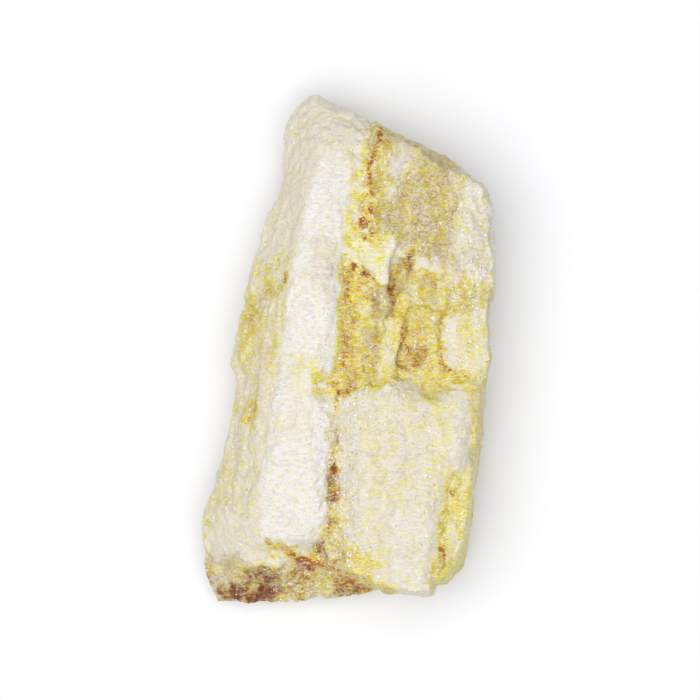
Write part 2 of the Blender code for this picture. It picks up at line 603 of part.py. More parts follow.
def finish(body):
    """Cleans the mesh of slivers, centres it over the origin, scales it to metres and gives it its
    material."""
    bm = bmesh.new()
    bm.from_mesh(body.data)
    bmesh.ops.remove_doubles(bm, verts=bm.verts[:], dist=SLIVER)
    bmesh.ops.dissolve_degenerate(bm, edges=bm.edges[:], dist=SLIVER)
    xs = [v.co.x for v in bm.verts]
    ys = [v.co.y for v in bm.verts]
    middle = Vector(((min(xs) + max(xs)) / 2, (min(ys) + max(ys)) / 2, 0.0))
    bmesh.ops.translate(bm, verts=bm.verts[:], vec=-middle)
    bmesh.ops.scale(bm, verts=bm.verts[:], vec=(MM, MM, MM))
    bm.to_mesh(body.data)
    bm.free()
    petalite = bpy.data.materials.new("petalite")
    petalite.use_nodes = True
    shader = petalite.node_tree.nodes["Principled BSDF"]
    shader.inputs["Base Color"].default_value = PETALITE
    shader.inputs["Roughness"].default_value = FRACTURE_ROUGHNESS
    shader.inputs["Metallic"].default_value = 0.0
    body.data.materials.clear()
    body.data.materials.append(petalite)


def main():
    for obj in list(bpy.data.objects):
        bpy.data.objects.remove(obj)
    rng = random.Random(SEED)
    body = made_object("petalite_crystal", fragment(rng))
    combine(body, front_blocks(rng), "UNION")
    combine(body, laid_plates(body, rng), "UNION")
    combine(body, front_pits(rng) + back_terraces(rng), "DIFFERENCE")
    for frame, box, count, length, width, lift in LEAF_PATCHES:
        combine(body, leaves(body, frame, box, count, length, width, lift, rng), "UNION")
    for make, frame, box, count, least, greatest in GRAIN_PATCHES:
        combine(body, scattered(body, make, count, frame, box, least, greatest, rng), "UNION")
    finish(body)


main()
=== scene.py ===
"""Petalite crystal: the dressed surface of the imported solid, its material, the studio and the camera.

The crystal lies on its back on the plane z = 0: +X is its right side, +Y its top end and +Z its weathered
front. Places and lengths are in millimetres until a mesh or an object is made.
"""

import bpy
import numpy as np
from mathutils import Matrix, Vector


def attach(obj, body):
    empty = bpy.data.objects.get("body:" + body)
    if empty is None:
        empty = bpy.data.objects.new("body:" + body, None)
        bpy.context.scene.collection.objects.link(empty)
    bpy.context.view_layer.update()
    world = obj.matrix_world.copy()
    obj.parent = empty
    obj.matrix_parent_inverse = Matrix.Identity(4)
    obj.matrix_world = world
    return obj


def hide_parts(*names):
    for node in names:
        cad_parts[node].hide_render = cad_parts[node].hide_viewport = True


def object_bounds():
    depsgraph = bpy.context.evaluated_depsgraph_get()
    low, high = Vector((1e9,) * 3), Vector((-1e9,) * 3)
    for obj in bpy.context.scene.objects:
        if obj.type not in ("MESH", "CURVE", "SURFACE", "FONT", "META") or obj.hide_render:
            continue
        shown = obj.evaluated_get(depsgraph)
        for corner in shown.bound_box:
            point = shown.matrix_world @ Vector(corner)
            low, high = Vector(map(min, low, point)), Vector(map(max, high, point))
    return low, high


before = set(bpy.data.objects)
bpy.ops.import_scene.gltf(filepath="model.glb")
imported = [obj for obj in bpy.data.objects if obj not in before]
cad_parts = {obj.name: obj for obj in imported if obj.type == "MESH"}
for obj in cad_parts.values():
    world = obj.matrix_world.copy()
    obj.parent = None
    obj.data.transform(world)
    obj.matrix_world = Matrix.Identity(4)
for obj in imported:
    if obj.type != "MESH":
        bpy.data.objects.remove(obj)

cad_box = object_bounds()

MM = 0.001

# ---------------------------------------------------------------- sizes

# The fine mesh: the length of its faces before it is thinned, and the triangles it keeps.
FACE_SIZE = 0.2
TRIANGLES = 190000

# How far a vertex may be from the rest plane to stay on it, and the height over which the relief fades in
# above it.
REST_BAND = 0.05
REST_FADE = 1.0

# How many times the vertices are averaged with their neighbours: to find edges and cracks, to soften all of
# the edges, to soften the worn places further and the faded places further still, and to finish the relief.
STANDING_OUT_REACH = 4
EDGE_REACH = 14
WORN_REACH = 120
FADED_REACH = 300
FINISH_REACH = 2

# How far the surface wanders sideways, which breaks its long edges, and how many turns a millimetre has.
WANDER = 0.70
WANDER_SCALE = 0.9

# Relief: the height over all cleavage steps and over all splinters, how many of each there are and the share
# of each that its riser takes, the slopes of facets and chips, and the height of the grain.
STEP_RELIEF = 0.6
STEPS = 7
STEP_RISER = 0.16
SPLINTER_RELIEF = 0.4
SPLINTERS = 6
SPLINTER_RISER = 0.3
FACET_SLOPE = 0.2
CHIP_SLOPE = 0.34
GRAIN_RELIEF = 0.14

# How many features of each kind of relief a millimetre has across, along and into the crystal, and how many
# times finer the splinters are than the sheets.
SHEET_SCALE = (0.5, 0.17, 0.5)
SPLINTER_FINENESS = 3.4
FACET_SCALE = (0.8, 0.38, 0.8)
CHIP_SCALE = (1.6, 1.1, 1.6)
GRAIN_SCALE = 2.0

# How far the sheets bend each way, and how many bends a millimetre has.
BEND = (1.6, 3.0, 1.6)
BEND_SCALE = 0.35

# The share of the surface, in percent, that the relief lowers.
LOWERED = 80.0

# How strong the relief is, how many painted glints (white spots that stand in for the sparkle of small clean
# faces) there are where no table says more, and how far down a surface may look and still count as the
# front.
PLAIN_RELIEF = 0.32
PLAIN_GLINT = 0.12
FRONT = -0.3

# Edges and cracks: how white the edges become, worn and with a painted highlight, and how stained and dark
# the cracks become, with dirt and with painted shade, for each millimetre that they stand out or lie low,
# how low a crack has to lie to be dark, and the most that counts.
EDGE_WHITE_AND_HIGHLIGHT = 2.2
CRACK_STAIN_AND_SHADE = 0.5
CRACK_DIRT_AND_SHADE = 0.25
CRACK_DEPTH = 0.05
MOST_STANDING_OUT = 0.3

# How many patches a millimetre has, in which edges and cracks take worn colour and painted light and shade.
WEAR_AND_LIGHT_SCALE = 0.7

# How far the outlines of the colours wander across and along the crystal, and how many turns a millimetre
# has.
OUTLINE_WANDER = (1.0, 1.6)
OUTLINE_SCALE = 1.1

# How many half widths away from its line a stroke ends.
STROKE_END = 1.35

# How many features a millimetre has: gaps in the strokes, streaks and patches of stain, dirt and grey, and
# the broad and middling clouds of the back.
STROKE_SCALE = 1.3
STREAK_SCALE = (1.2, 0.2, 1.2)
PATCH_SCALE = (1.1, 0.8, 1.1)
BROAD_SCALE = (0.16, 0.08, 0.2)
MIDDLING_SCALE = (0.5, 0.25, 0.5)

# Edges sharper than this, in radians, are shaded sharp.
SHARP = 0.6

# The seeds of the random numbers. A seed for several numbers takes those that follow it too.
SEEDS = {
    "sheets": 1,
    "splinters": 3,
    "bend": 5,
    "grain": 8,
    "facets": 20,
    "chips": 30,
    "across": 40,
    "along": 50,
    "strokes": 60,
    "broad": 70,
    "middling": 80,
    "wander": 90,
    "streaks": 100,
    "patches": 105,
    "wear_and_light": 140,
}

# The camera looks straight down on this width of the plane at the crystal's girth.
FRAME_WIDTH = 87.5
FRAME_MIDDLE = (0.25, 0.0)
GIRTH_HEIGHT = 8.4
LENS = 250.0
SENSOR = 36.0

# The studio, in metres and watts: the paper the crystal lies on, the lamp and the light from all round.
PAPER_HALF = 2.0
PAPER_ROUGHNESS = 0.9
LAMP_PLACE = (-0.13, -0.08, 1.2)
LAMP_SIZE = 1.2
LAMP_POWER = 15.3
WORLD_LIGHT = 0.44

# Petalite: how it bends, mirrors and scatters light, and the strength and height of its finest relief.
PETALITE_VALUES = {
    "IOR": 1.51,
    "Specular IOR Level": 0.3,
    "Subsurface Weight": 0.2,
    "Subsurface Radius": (1.0, 0.85, 0.65),
    "Subsurface Scale": 0.8 * MM,
}
BUMP_STRENGTH = 0.7
BUMP_HEIGHT = 0.12

# The patterns of the material: how many of each a millimetre has across, along and into the crystal.
FLECKS = (2.0, 6.4, 4.4)
SHORT_FLECKS = (3.4, 5.6, 4.6)
FINE_NOISE = (2.0, 4.6, 3.4)
CLOUDS = (0.45, 0.6, 0.45)
SPECKS = (3.0, 8.0, 6.0)
# the flake glints and glints are painted highlights: white spots that stand in for the sparkle of small
# faces
FLAKE_GLINTS = (2.2, 1.2, 2.2)
GLINTS = (2.7, 2.2, 2.7)
DARK_DOTS = (3.2, 3.6, 3.2)

# How far the outlines of the painted flake glints and glints and of the dark dots wander, and how many turns
# a millimetre has.
SPOT_WANDER = 0.7
SPOT_SCALE = 3.5

# ---------------------------------------------------------------- colours

WHITE = (0.79, 0.785, 0.755)
CREAM = (0.74, 0.69, 0.61)
LILAC = (0.67, 0.56, 0.68)
TAN = (0.68, 0.55, 0.2)
STRAW = (0.74, 0.69, 0.04)
HONEY = (0.68, 0.56, 0.0)
OCHRE = (0.59, 0.41, 0.0)
MAUVE = (0.54, 0.335, 0.25)
AMBER = (0.56, 0.27, 0.005)
RUST = (0.38, 0.09, 0.008)
PLUM = (0.30, 0.15, 0.12)
UMBER = (0.18, 0.06, 0.035)
# painted highlight: the white of the flake glints and glints
GLINT = (0.95, 0.95, 0.95)
PAPER = (0.818, 0.822, 0.85)

# What full grey multiplies a colour by. Grey is partly painted shade.
SHADE = (0.80, 0.77, 0.735)

# The tints of stains and of rust: where each begins and is full, the share of it then, and its colour.
STAIN_TINTS = [
    (0.12, 0.34, 0.8, STRAW),
    (0.34, 0.6, 0.94, HONEY),
    (0.8, 1.5, 0.95, OCHRE),
]
RUST_TINTS = [
    (0.35, 0.9, 0.65, AMBER),
    (0.7, 1.4, 0.85, RUST),
]

# ---------------------------------------------------------------- where the colours lie, seen from the front

# Areas: outline, width of the soft border, and what the area sets.
AREAS = [
    # left face: its grey is partly painted shade of a face that slopes away from the light
    ([(-4.5, 32.5), (-3.4, 25.6), (-4.6, 20.0), (-5.6, 13.5), (-7.0, 9.5), (-7.6, 4.5), (-8.8, -3.0),
      (-9.9, -10.0), (-11.3, -17.0), (-12.0, -22.0), (-19.0, -24.0), (-19.0, 32.0)], 0.5,
     {"grey": 0.06, "stain": 0.07}),
    ([(-7.2, 12.0), (-7.6, 4.5), (-8.8, -3.0), (-9.9, -10.0), (-19.0, -12.0), (-19.0, 10.0)], 2.5,
     {"stain": 0.19, "grey": 0.26}),
    ([(-9.9, -9.0), (-11.3, -17.0), (-12.4, -21.0), (-18.6, -23.0), (-16.6, -9.0)], 2.5,
     {"stain": 0.12, "grey": 0.22}),
    # top end of the rib
    ([(-6.5, 32.0), (1.5, 32.0), (4.0, 27.0), (2.2, 24.0), (-3.0, 25.0)], 1.5,
     {"grey": 0.0, "stain": 0.06, "white": 0.1}),
    # rib
    ([(-3.2, 25.0), (0.4, 22.0), (-0.2, 17.0), (-1.0, 12.0), (-1.6, 6.2), (-1.5, 0.0), (-2.3, -3.8),
      (-2.7, -7.5), (-2.7, -18.7), (-2.2, -20.2), (-5.6, -24.4), (-10.6, -24.0), (-11.1, -16.2),
      (-9.6, -10.0), (-8.5, -3.0), (-7.5, 5.0), (-6.6, 9.0), (-5.4, 13.8), (-4.2, 20.4)], 0.45,
     {"white": 0.8, "grey": 0.06, "stain": 0.04}),
    ([(-5.2, 14.2), (-1.4, 13.6), (-1.2, 8.4), (-2.8, 6.6), (-4.8, 9.0)], 1.6,
     {"white": 0.4, "grey": 0.4, "stain": 0.05}),
    ([(-7.8, -0.4), (-3.6, -0.8), (-3.4, -5.0), (-6.4, -7.6), (-8.2, -4.0)], 1.4,
     {"white": 0.4, "stain": 0.11}),
    ([(-9.4, -5.0), (-5.0, -4.0), (-4.0, -10.0), (-9.8, -12.0)], 2.5, {"white": 0.5, "stain": 0.08}),
    # bench right of the seam
    ([(2.6, 27.8), (4.0, 30.0), (20.6, 22.0), (20.6, 6.0), (8.0, 12.0), (3.0, 14.0)], 1.2,
     {"grey": 0.8, "stain": 0.2, "dark": 0.04}),
    ([(7.4, 26.6), (12.2, 24.0), (12.6, 16.0), (12.2, 11.4), (8.0, 12.0), (5.0, 14.0), (4.4, 17.0),
      (6.6, 19.0)], 2.2, {"grey": 1.3, "stain": 0.27, "dark": 0.14}),
    ([(4.6, 19.0), (5.6, 18.6), (8.0, 24.4), (6.6, 25.4), (5.0, 22.0)], 0.9, {"white": 0.6, "stain": 0.1}),
    # bright plate
    ([(13.8, 24.0), (20.8, 22.0), (20.8, 7.0), (14.6, 6.4), (13.6, 10.0), (13.2, 18.0), (14.4, 21.0)], 2.0,
     {"white": 0.5, "grey": 0.36, "stain": 0.12, "dark": 0.0}),
    # the plate's right wall: white as painted light against the shade of the steep wall
    ([(17.5, 24.0), (21.0, 24.0), (21.0, 4.0), (17.8, 4.0)], 0.8, {"white": 1.2, "grey": 0.0}),
    # hollow: all of it, then its tan upper right part
    ([(-1.0, 11.0), (3.0, 8.8), (5.4, 8.0), (8.0, 9.8), (13.0, 9.0), (17.8, 7.4), (17.8, 4.0), (11.8, 3.6),
      (12.0, -2.0), (14.5, -3.4), (17.6, -3.6), (17.0, -5.6), (10.0, -5.4), (7.0, -3.8), (2.0, -4.6),
      (-1.6, -6.0), (-2.6, -3.6), (-1.4, 0.0), (-1.4, 6.0)], 0.9,
     {"stain": 0.44, "white": 0.0, "grey": 0.16, "dark": 0.0}),
    ([(7.6, 9.8), (12.8, 9.6), (17.8, 7.6), (17.8, 4.2), (11.6, 4.4), (7.4, 5.6)], 1.2,
     {"stain": 0.32, "grey": 0.6}),
    # the mauve patch under the tooth, partly painted shadow of the tooth, and the low hump
    ([(2.6, 7.6), (5.6, 7.4), (5.8, 3.8), (3.0, 3.6)], 0.7, {"stain": 0.36, "grey": 1.3, "dark": 0.26}),
    ([(1.6, 2.6), (3.6, 3.0), (4.0, -0.6), (3.8, -2.8), (1.8, -2.8), (1.2, 0.0)], 1.2,
     {"stain": 0.46, "grey": 1.0, "dark": 0.08}),
    # the notch: tan, and darker in part as painted shade in the recess
    ([(6.0, 10.8), (8.1, 11.9), (7.7, 9.8), (6.5, 7.6), (5.4, 7.2), (5.2, 9.0)], 0.6,
     {"stain": 0.42, "grey": 0.9, "dark": 0.1, "white": 0.0}),
    # the light ridge
    ([(4.0, 3.6), (6.9, 3.8), (6.9, 1.6), (6.2, -1.0), (5.6, -3.6), (3.8, -3.4), (4.2, 0.0)], 0.7,
     {"stain": 0.28, "white": 0.2, "grey": 0.16}),
    # right of the crack: ochre above, darker below
    ([(6.8, 5.0), (11.6, 5.0), (11.4, 0.8), (6.6, 0.8)], 0.8, {"stain": 0.63, "grey": 0.35, "dark": 0.02}),
    ([(6.5, 0.8), (9.8, 0.8), (9.8, -1.8), (8.6, -2.6), (6.2, -2.6)], 1.0,
     {"stain": 0.7, "grey": 0.9, "dark": 0.28}),
    ([(9.4, -1.4), (12.4, -1.8), (14.4, -3.4), (12.4, -5.4), (9.0, -4.6)], 1.0, {"stain": 0.6, "grey": 0.2}),
    # right ledge
    ([(11.7, 4.2), (17.9, 5.0), (18.2, -1.0), (17.0, -3.5), (14.4, -3.1), (12.3, -2.2), (11.8, 0.0)], 0.6,
     {"stain": 0.1, "white": 0.36, "grey": 0.22, "dark": 0.0}),
    ([(14.0, 4.6), (17.9, 5.0), (18.2, -1.0), (17.0, -3.5), (13.4, -2.8), (14.0, 0.0)], 1.6,
     {"stain": 0.2, "white": 0.24}),
    # tooth
    ([(-0.4, 14.0), (5.8, 14.4), (5.5, 10.8), (5.2, 8.0), (4.2, 7.9), (3.3, 8.7), (3.1, 9.9), (1.6, 10.3),
      (0.6, 11.6)], 0.8, {"white": 0.7, "stain": 0.12, "grey": 0.0}),
    # lower block
    ([(-1.4, -7.4), (1.6, -4.9), (7.8, -4.2), (9.6, -6.2), (13.0, -4.6), (14.4, -4.2), (14.5, -11.3),
      (15.0, -14.0), (12.6, -15.4), (11.8, -21.6), (10.6, -29.8), (5.6, -29.9), (1.2, -27.4), (-1.2, -26.6),
      (-1.2, -19.0)], 0.7, {"white": 0.15, "stain": 0.11, "grey": 0.2}),
    ([(4.0, -19.0), (11.0, -20.0), (10.4, -29.8), (6.0, -29.8)], 2.5, {"white": 0.45, "stain": 0.08}),
    ([(-0.6, -25.4), (1.0, -24.4), (4.0, -26.4), (2.6, -27.6), (-0.6, -26.6)], 1.4,
     {"stain": 0.44, "white": 0.0}),
    # the margin right of the block, and the stained strip below it
    ([(14.6, -3.6), (19.5, -3.6), (19.0, -15.0), (12.6, -15.4), (15.0, -14.0)], 0.9,
     {"stain": 0.26, "grey": 0.25, "white": 0.1}),
    ([(15.0, -14.8), (19.0, -15.0), (18.0, -32.0), (10.0, -32.0), (10.6, -25.0), (11.2, -20.9),
      (11.8, -19.4), (12.2, -15.2)], 0.5, {"stain": 0.3, "grey": 0.0, "white": 0.0}),
    ([(10.4, -25.6), (14.8, -25.6), (14.8, -29.4), (10.2, -29.8)], 0.7, {"stain": 0.46, "grey": 0.1}),
    # lower seam
    ([(-2.8, -7.6), (-0.8, -7.6), (-0.6, -25.0), (-2.6, -26.6), (-4.6, -25.4), (-2.4, -20.0)], 0.9,
     {"grey": 0.6, "stain": 0.16, "white": 0.5, "dark": 0.1}),
    ([(-1.8, -20.0), (-0.4, -20.8), (-0.6, -25.6), (-2.8, -26.4), (-4.4, -25.6), (-3.0, -22.4)], 1.0,
     {"grey": 0.3, "stain": 0.3, "white": 0.4, "dark": 0.26}),
    # the pit: brown dirt, and grey that is partly painted shade in the pit
    ([(-2.4, -14.2), (-1.2, -14.6), (-1.0, -18.4), (-2.5, -18.8), (-2.6, -16.4)], 0.9,
     {"dark": 0.36, "stain": 0.4, "grey": 1.2, "white": 0.0, "glint": -0.2}),
    # toe
    ([(-15.5, -20.6), (-12.0, -21.0), (-10.6, -24.0), (-5.8, -24.4), (-6.6, -26.2), (-9.0, -27.4),
      (-12.4, -26.6), (-15.4, -25.4), (-17.0, -24.6)], 1.2, {"white": 0.3, "grey": 0.16, "stain": 0.08}),
    # broken bottom end: all of it, its olive left part, dark core, light grains and brown right part. The
    # dark core is partly painted shade of the end face, which turns away from the light.
    ([(-18.5, -26.6), (-14.4, -26.6), (-11.6, -27.4), (-9.0, -27.4), (-6.6, -26.6), (-5.6, -25.4),
      (-2.0, -26.2), (2.0, -28.0), (5.4, -30.0), (5.4, -33.0), (-18.5, -33.0)], 1.4,
     {"dark": 0.2, "stain": 0.42, "grey": 0.3}),
    ([(-18.5, -25.6), (-13.6, -25.4), (-12.4, -28.4), (-13.6, -33.0), (-18.5, -33.0)], 2.6,
     {"dark": 0.14, "stain": 0.17, "grey": 0.9}),
    ([(-13.0, -27.8), (-10.6, -27.0), (-8.2, -27.6), (-7.8, -30.0), (-9.4, -30.8), (-13.2, -30.4)], 2.4,
     {"dark": 0.74, "stain": 0.6, "grey": 0.9}),
    ([(-8.4, -27.2), (-4.4, -26.6), (-4.0, -29.4), (-4.4, -31.8), (-9.6, -32.0), (-8.6, -30.0)], 1.6,
     {"dark": 0.36, "stain": 0.5, "white": 0.3, "grey": 0.2}),
    ([(-4.6, -28.2), (-2.2, -28.2), (-1.6, -30.0), (-4.2, -30.6)], 1.0,
     {"dark": 0.0, "stain": 0.34, "white": 0.5}),
    ([(-1.8, -28.4), (1.2, -28.8), (3.0, -30.0), (2.0, -31.2), (-1.8, -31.0)], 1.2,
     {"dark": 0.42, "stain": 1.0, "grey": 0.6}),
]

# Strokes: points, half width, and how much is added along them.
STROKES = [
    # the stained seam from the top end to the tooth
    ([(4.2, 27.2), (3.6, 25.4), (3.0, 23.0), (2.7, 20.6), (2.6, 17.4), (2.2, 14.8)], 1.5, {"stain": 0.62}),
    ([(3.1, 24.4), (2.7, 20.6), (2.6, 17.0)], 0.5, {"stain": 0.4, "dark": 0.3}),
    ([(1.5, 20.4), (1.3, 16.0), (1.2, 13.0)], 1.7, {"stain": 0.45}),
    ([(5.4, 20.0), (5.2, 16.0), (4.6, 13.6)], 2.2, {"stain": 0.2}),
    ([(2.1, 15.6), (2.5, 14.0)], 0.8, {"stain": 0.5, "dark": 0.6}),
    ([(4.1, 27.3), (3.9, 26.2)], 0.5, {"dark": 0.6, "stain": 0.5}),
    # the left side of the hollow
    ([(-0.2, 11.1), (1.0, 10.4), (1.8, 9.6), (2.8, 9.3)], 0.55, {"stain": 0.5, "dark": 0.75}),
    ([(0.8, 9.6), (1.4, 8.4), (1.8, 7.0)], 1.7, {"stain": 0.5, "dark": 0.06}),
    ([(0.1, 8.6), (0.1, 6.4), (0.0, 3.0), (0.0, 0.0), (-0.4, -2.0)], 0.9, {"stain": 0.7, "dark": 0.02}),
    ([(-0.8, 7.0), (-1.2, 2.0), (-1.2, -3.0)], 0.9, {"stain": 0.2}),
    ([(-0.6, -2.6), (1.4, -3.4), (3.2, -4.0)], 1.2, {"stain": 0.36, "grey": 0.4}),
    ([(-1.4, -4.6), (-0.2, -4.9), (1.2, -4.4)], 1.0, {"stain": 0.42, "dark": 0.34}),
    ([(-3.8, -4.0), (-2.4, -4.8), (-1.4, -5.2)], 1.5, {"stain": 0.36}),
    ([(-1.4, -5.6), (-1.5, -7.1)], 0.35, {"stain": 0.5, "dark": 0.3}),
    # the red line right of the mauve patch
    ([(5.2, 7.8), (5.6, 6.0), (5.6, 4.4)], 0.4, {"stain": 0.3, "dark": 0.4}),
    # notch: darker in part as painted shade in the recess
    ([(7.5, 11.2), (6.8, 10.2), (6.1, 8.4)], 1.2, {"dark": 0.36, "stain": 0.4, "grey": 1.0}),
    # cracks of the hollow
    ([(7.2, 3.8), (6.7, 1.2), (6.2, -1.2), (5.7, -3.8)], 0.4, {"stain": 0.5, "dark": 0.2}),
    ([(9.6, 6.4), (10.2, 7.8), (10.4, 9.0)], 1.1, {"stain": 0.34, "dark": 0.14}),
    ([(11.4, 4.2), (11.5, 0.6), (11.8, -2.2)], 0.5, {"stain": 0.3, "dark": 0.2}),
    ([(12.2, -2.4), (14.2, -2.9), (15.6, -3.5), (17.0, -3.7), (17.6, -1.6), (17.7, 0.2)], 0.35,
     {"stain": 0.5, "dark": 0.3}),
    ([(9.6, -4.4), (9.9, -5.6), (10.4, -6.6)], 0.9, {"stain": 0.34}),
    # the side of the rib, painted lighter: painted light against the shade of its slope
    ([(-1.7, 7.8), (-1.6, 2.0), (-1.8, -3.4)], 0.8,
     {"white": 0.7, "grey": -0.5, "dark": -0.2, "stain": -0.2}),
    # the upper edge of the block, painted lighter: painted light against the shade of its step
    ([(0.6, -5.2), (3.0, -4.3), (7.8, -3.9), (9.8, -5.9), (13.0, -4.2), (14.4, -3.9)], 0.9,
     {"white": 0.5, "grey": -0.3, "dark": -0.1}),
    # strip right of the block
    ([(12.8, -15.8), (12.5, -18.6), (11.9, -22.0), (11.5, -25.6)], 0.8, {"stain": 0.28, "dark": 0.1}),
    ([(11.6, -24.0), (11.7, -26.4)], 0.6, {"stain": 0.4, "dark": 0.24}),
    ([(13.4, -15.6), (13.4, -19.0)], 0.8, {"stain": 0.1, "dark": 0.14}),
    # pit of the lower seam
    ([(-1.6, -14.4), (-1.8, -18.6)], 0.6, {"dark": 0.14, "stain": 0.2}),
    ([(-1.9, -8.8), (-1.6, -11.4), (-1.6, -15.0)], 0.45, {"dark": 0.35, "stain": 0.2, "white": -0.4}),
    ([(-1.8, -18.4), (-1.9, -21.0), (-3.0, -23.4), (-4.6, -25.6)], 0.6, {"dark": 0.3, "stain": 0.2}),
    # cracks of the bottom end
    ([(-9.9, -23.7), (-8.0, -24.5), (-6.4, -25.2), (-5.6, -26.4)], 0.6, {"stain": 1.3, "dark": 0.05}),
    ([(-9.4, -25.2), (-7.6, -25.6), (-6.2, -26.0)], 0.7, {"stain": 0.3}),
    ([(-3.8, -25.4), (-1.8, -25.2), (0.8, -25.9)], 1.1, {"stain": 0.45, "grey": 0.2}),
    ([(-6.6, -25.4), (-5.6, -26.4), (-4.6, -26.8)], 0.8, {"stain": 0.5, "dark": 0.5, "glint": -0.4}),
    ([(-3.6, -27.4), (-1.2, -27.8), (1.6, -28.6), (5.2, -30.0)], 0.9,
     {"stain": 1.1, "grey": -0.4, "dark": -0.3, "glint": -0.5}),
    ([(-5.4, -26.4), (-3.2, -26.8), (-1.2, -27.5)], 0.5,
     {"stain": 2.6, "dark": 0.05, "grey": -0.4, "glint": -0.9}),
    # the dark band along the lowest edge: dirt, and painted shade where the end meets the floor
    ([(-15.8, -30.8), (-13.4, -30.8), (-10.4, -31.2)], 1.1, {"dark": 0.8, "stain": 0.2}),
    # the dirt line of the lower left edge
    ([(-17.7, -21.6), (-17.9, -25.0), (-17.6, -29.4)], 0.4, {"stain": 0.5, "dark": 0.3}),
    # the clean bevel along the upper ridge
    ([(-4.2, 20.2), (-5.0, 15.0), (-6.2, 11.4), (-7.4, 8.4)], 0.9, {"white": 0.7, "grey": -0.4}),
    # the chips of the ridge and the stains on the left face
    ([(-7.6, 9.4), (-8.2, 7.8)], 0.5, {"stain": 0.6, "dark": 0.25}),
    ([(-9.8, 7.0), (-11.4, 5.6), (-12.0, 3.0)], 1.1, {"stain": 0.25, "grey": 0.5, "dark": 0.14}),
    ([(-12.6, 4.6), (-13.4, 0.6)], 1.2, {"stain": 0.16}),
    ([(-11.6, -6.8), (-12.4, -9.2)], 0.8, {"stain": 0.4, "dark": 0.1}),
    # clean flakes along the rib: whiter, and with more painted glints
    ([(-6.6, 8.4), (-7.3, 4.4)], 0.5, {"white": 0.6, "grey": -0.4, "glint": 0.4}),
    ([(-8.3, -4.8), (-8.6, -7.4)], 0.6, {"white": 0.6, "stain": -0.1, "glint": 0.4}),
    ([(-3.6, -7.6), (-3.4, -10.6), (-3.0, -14.0)], 0.6, {"white": 0.6, "stain": -0.1, "glint": 0.4}),
]

# Places that are broken into grains: outline, soft border and how much rougher they are.
ROUGH_PLACES = [
    # left face
    ([(-4.5, 32.5), (-3.4, 25.6), (-4.6, 20.0), (-5.6, 13.5), (-7.6, 4.5), (-9.9, -10.0), (-12.0, -22.0),
      (-19.0, -24.0), (-19.0, 32.0)], 0.8, 0.1),
    # broken bottom end
    ([(-11.8, -27.6), (-5.4, -26.6), (2.0, -28.2), (2.0, -33.0), (-12.4, -33.0)], 2.5, 0.8),
    # lower seam
    ([(-2.8, -7.0), (-0.4, -7.0), (-0.2, -26.0), (-4.8, -27.0)], 0.8, 0.45),
    # bench and bright plate
    ([(5.6, 26.6), (14.0, 23.0), (12.6, 10.0), (5.0, 13.0)], 1.2, 0.3),
    ([(13.0, 23.0), (20.0, 23.0), (20.0, 6.0), (13.4, 7.0)], 1.0, 0.35),
    # hollow
    ([(-0.6, 11.0), (3.2, 8.0), (12.0, 7.0), (12.0, -3.0), (7.8, -3.6), (3.2, -4.8), (-1.6, -5.6),
      (-0.6, 3.0)], 1.0, 0.4),
    # upper seam
    ([(1.6, 28.4), (3.8, 28.4), (3.2, 12.0), (1.2, 14.0)], 1.0, 0.5),
    # top end
    ([(-5.0, 32.0), (2.0, 32.0), (4.0, 26.0), (-3.0, 25.0)], 1.5, 0.15),
]

# Places with many painted glints, white spots that stand in for the sparkle of small clean faces: outline,
# soft border and how many more.
PAINTED_GLINT_PLACES = [
    # bright plate
    ([(13.0, 23.0), (20.0, 23.0), (20.0, 4.0), (13.4, 5.0)], 2.0, 0.8),
    # bench
    ([(3.0, 28.0), (13.0, 23.0), (13.0, 8.0), (3.0, 12.0)], 1.5, 0.1),
    # lower seam, as far as the pit's two sides
    ([(-4.4, -6.0), (1.6, -6.0), (1.8, -27.0), (-6.0, -28.0), (-4.6, -18.0)], 2.0, 0.75),
    # upper end of the block
    ([(-1.0, -5.0), (8.0, -3.4), (9.0, -7.0), (4.0, -9.0), (-1.0, -8.0)], 2.0, 0.4),
    # hollow
    ([(-0.6, 11.0), (12.0, 7.0), (12.0, -3.0), (-1.6, -5.6)], 1.0, 0.06),
    # broken bottom end
    ([(-9.4, -27.6), (-5.4, -26.0), (-1.0, -27.2), (-1.4, -31.0), (-4.0, -33.0), (-10.4, -33.0)], 1.5, 0.6),
    # upper end of the rib
    ([(-5.0, 29.0), (3.0, 29.0), (2.0, 14.0), (-4.0, 14.0)], 2.0, 0.2),
]

# Places worn soft, where a step hardly shows: outline, soft border and share.
WORN_PLACES = [
    # the rib and the seam above the hollow
    ([(-6.4, 28.0), (2.0, 28.0), (2.0, 11.0), (0.4, 6.0), (-8.0, 5.0)], 3.0, 0.95),
    # the corner where the upper seam meets the top end
    ([(0.6, 30.0), (6.4, 29.0), (6.0, 25.4), (0.8, 25.6)], 1.0, 0.9),
    # the lower end of the rib
    ([(-12.0, -14.0), (-3.4, -14.0), (-3.4, -23.0), (-7.0, -27.0), (-14.0, -26.0)], 2.0, 0.9),
    # the lower seam
    ([(-5.0, -6.0), (1.6, -6.0), (1.6, -26.0), (-6.0, -27.0)], 1.5, 0.7),
    # the upper edge of the block and the edges on its right
    ([(-1.8, -2.6), (8.0, -2.4), (17.4, -2.4), (17.4, -7.0), (9.6, -8.4), (1.0, -7.4), (-1.8, -7.4)],
     1.2, 0.92),
    ([(10.4, -6.0), (17.4, -3.6), (18.0, -16.0), (16.0, -30.0), (9.0, -28.4)], 1.5, 0.75),
]

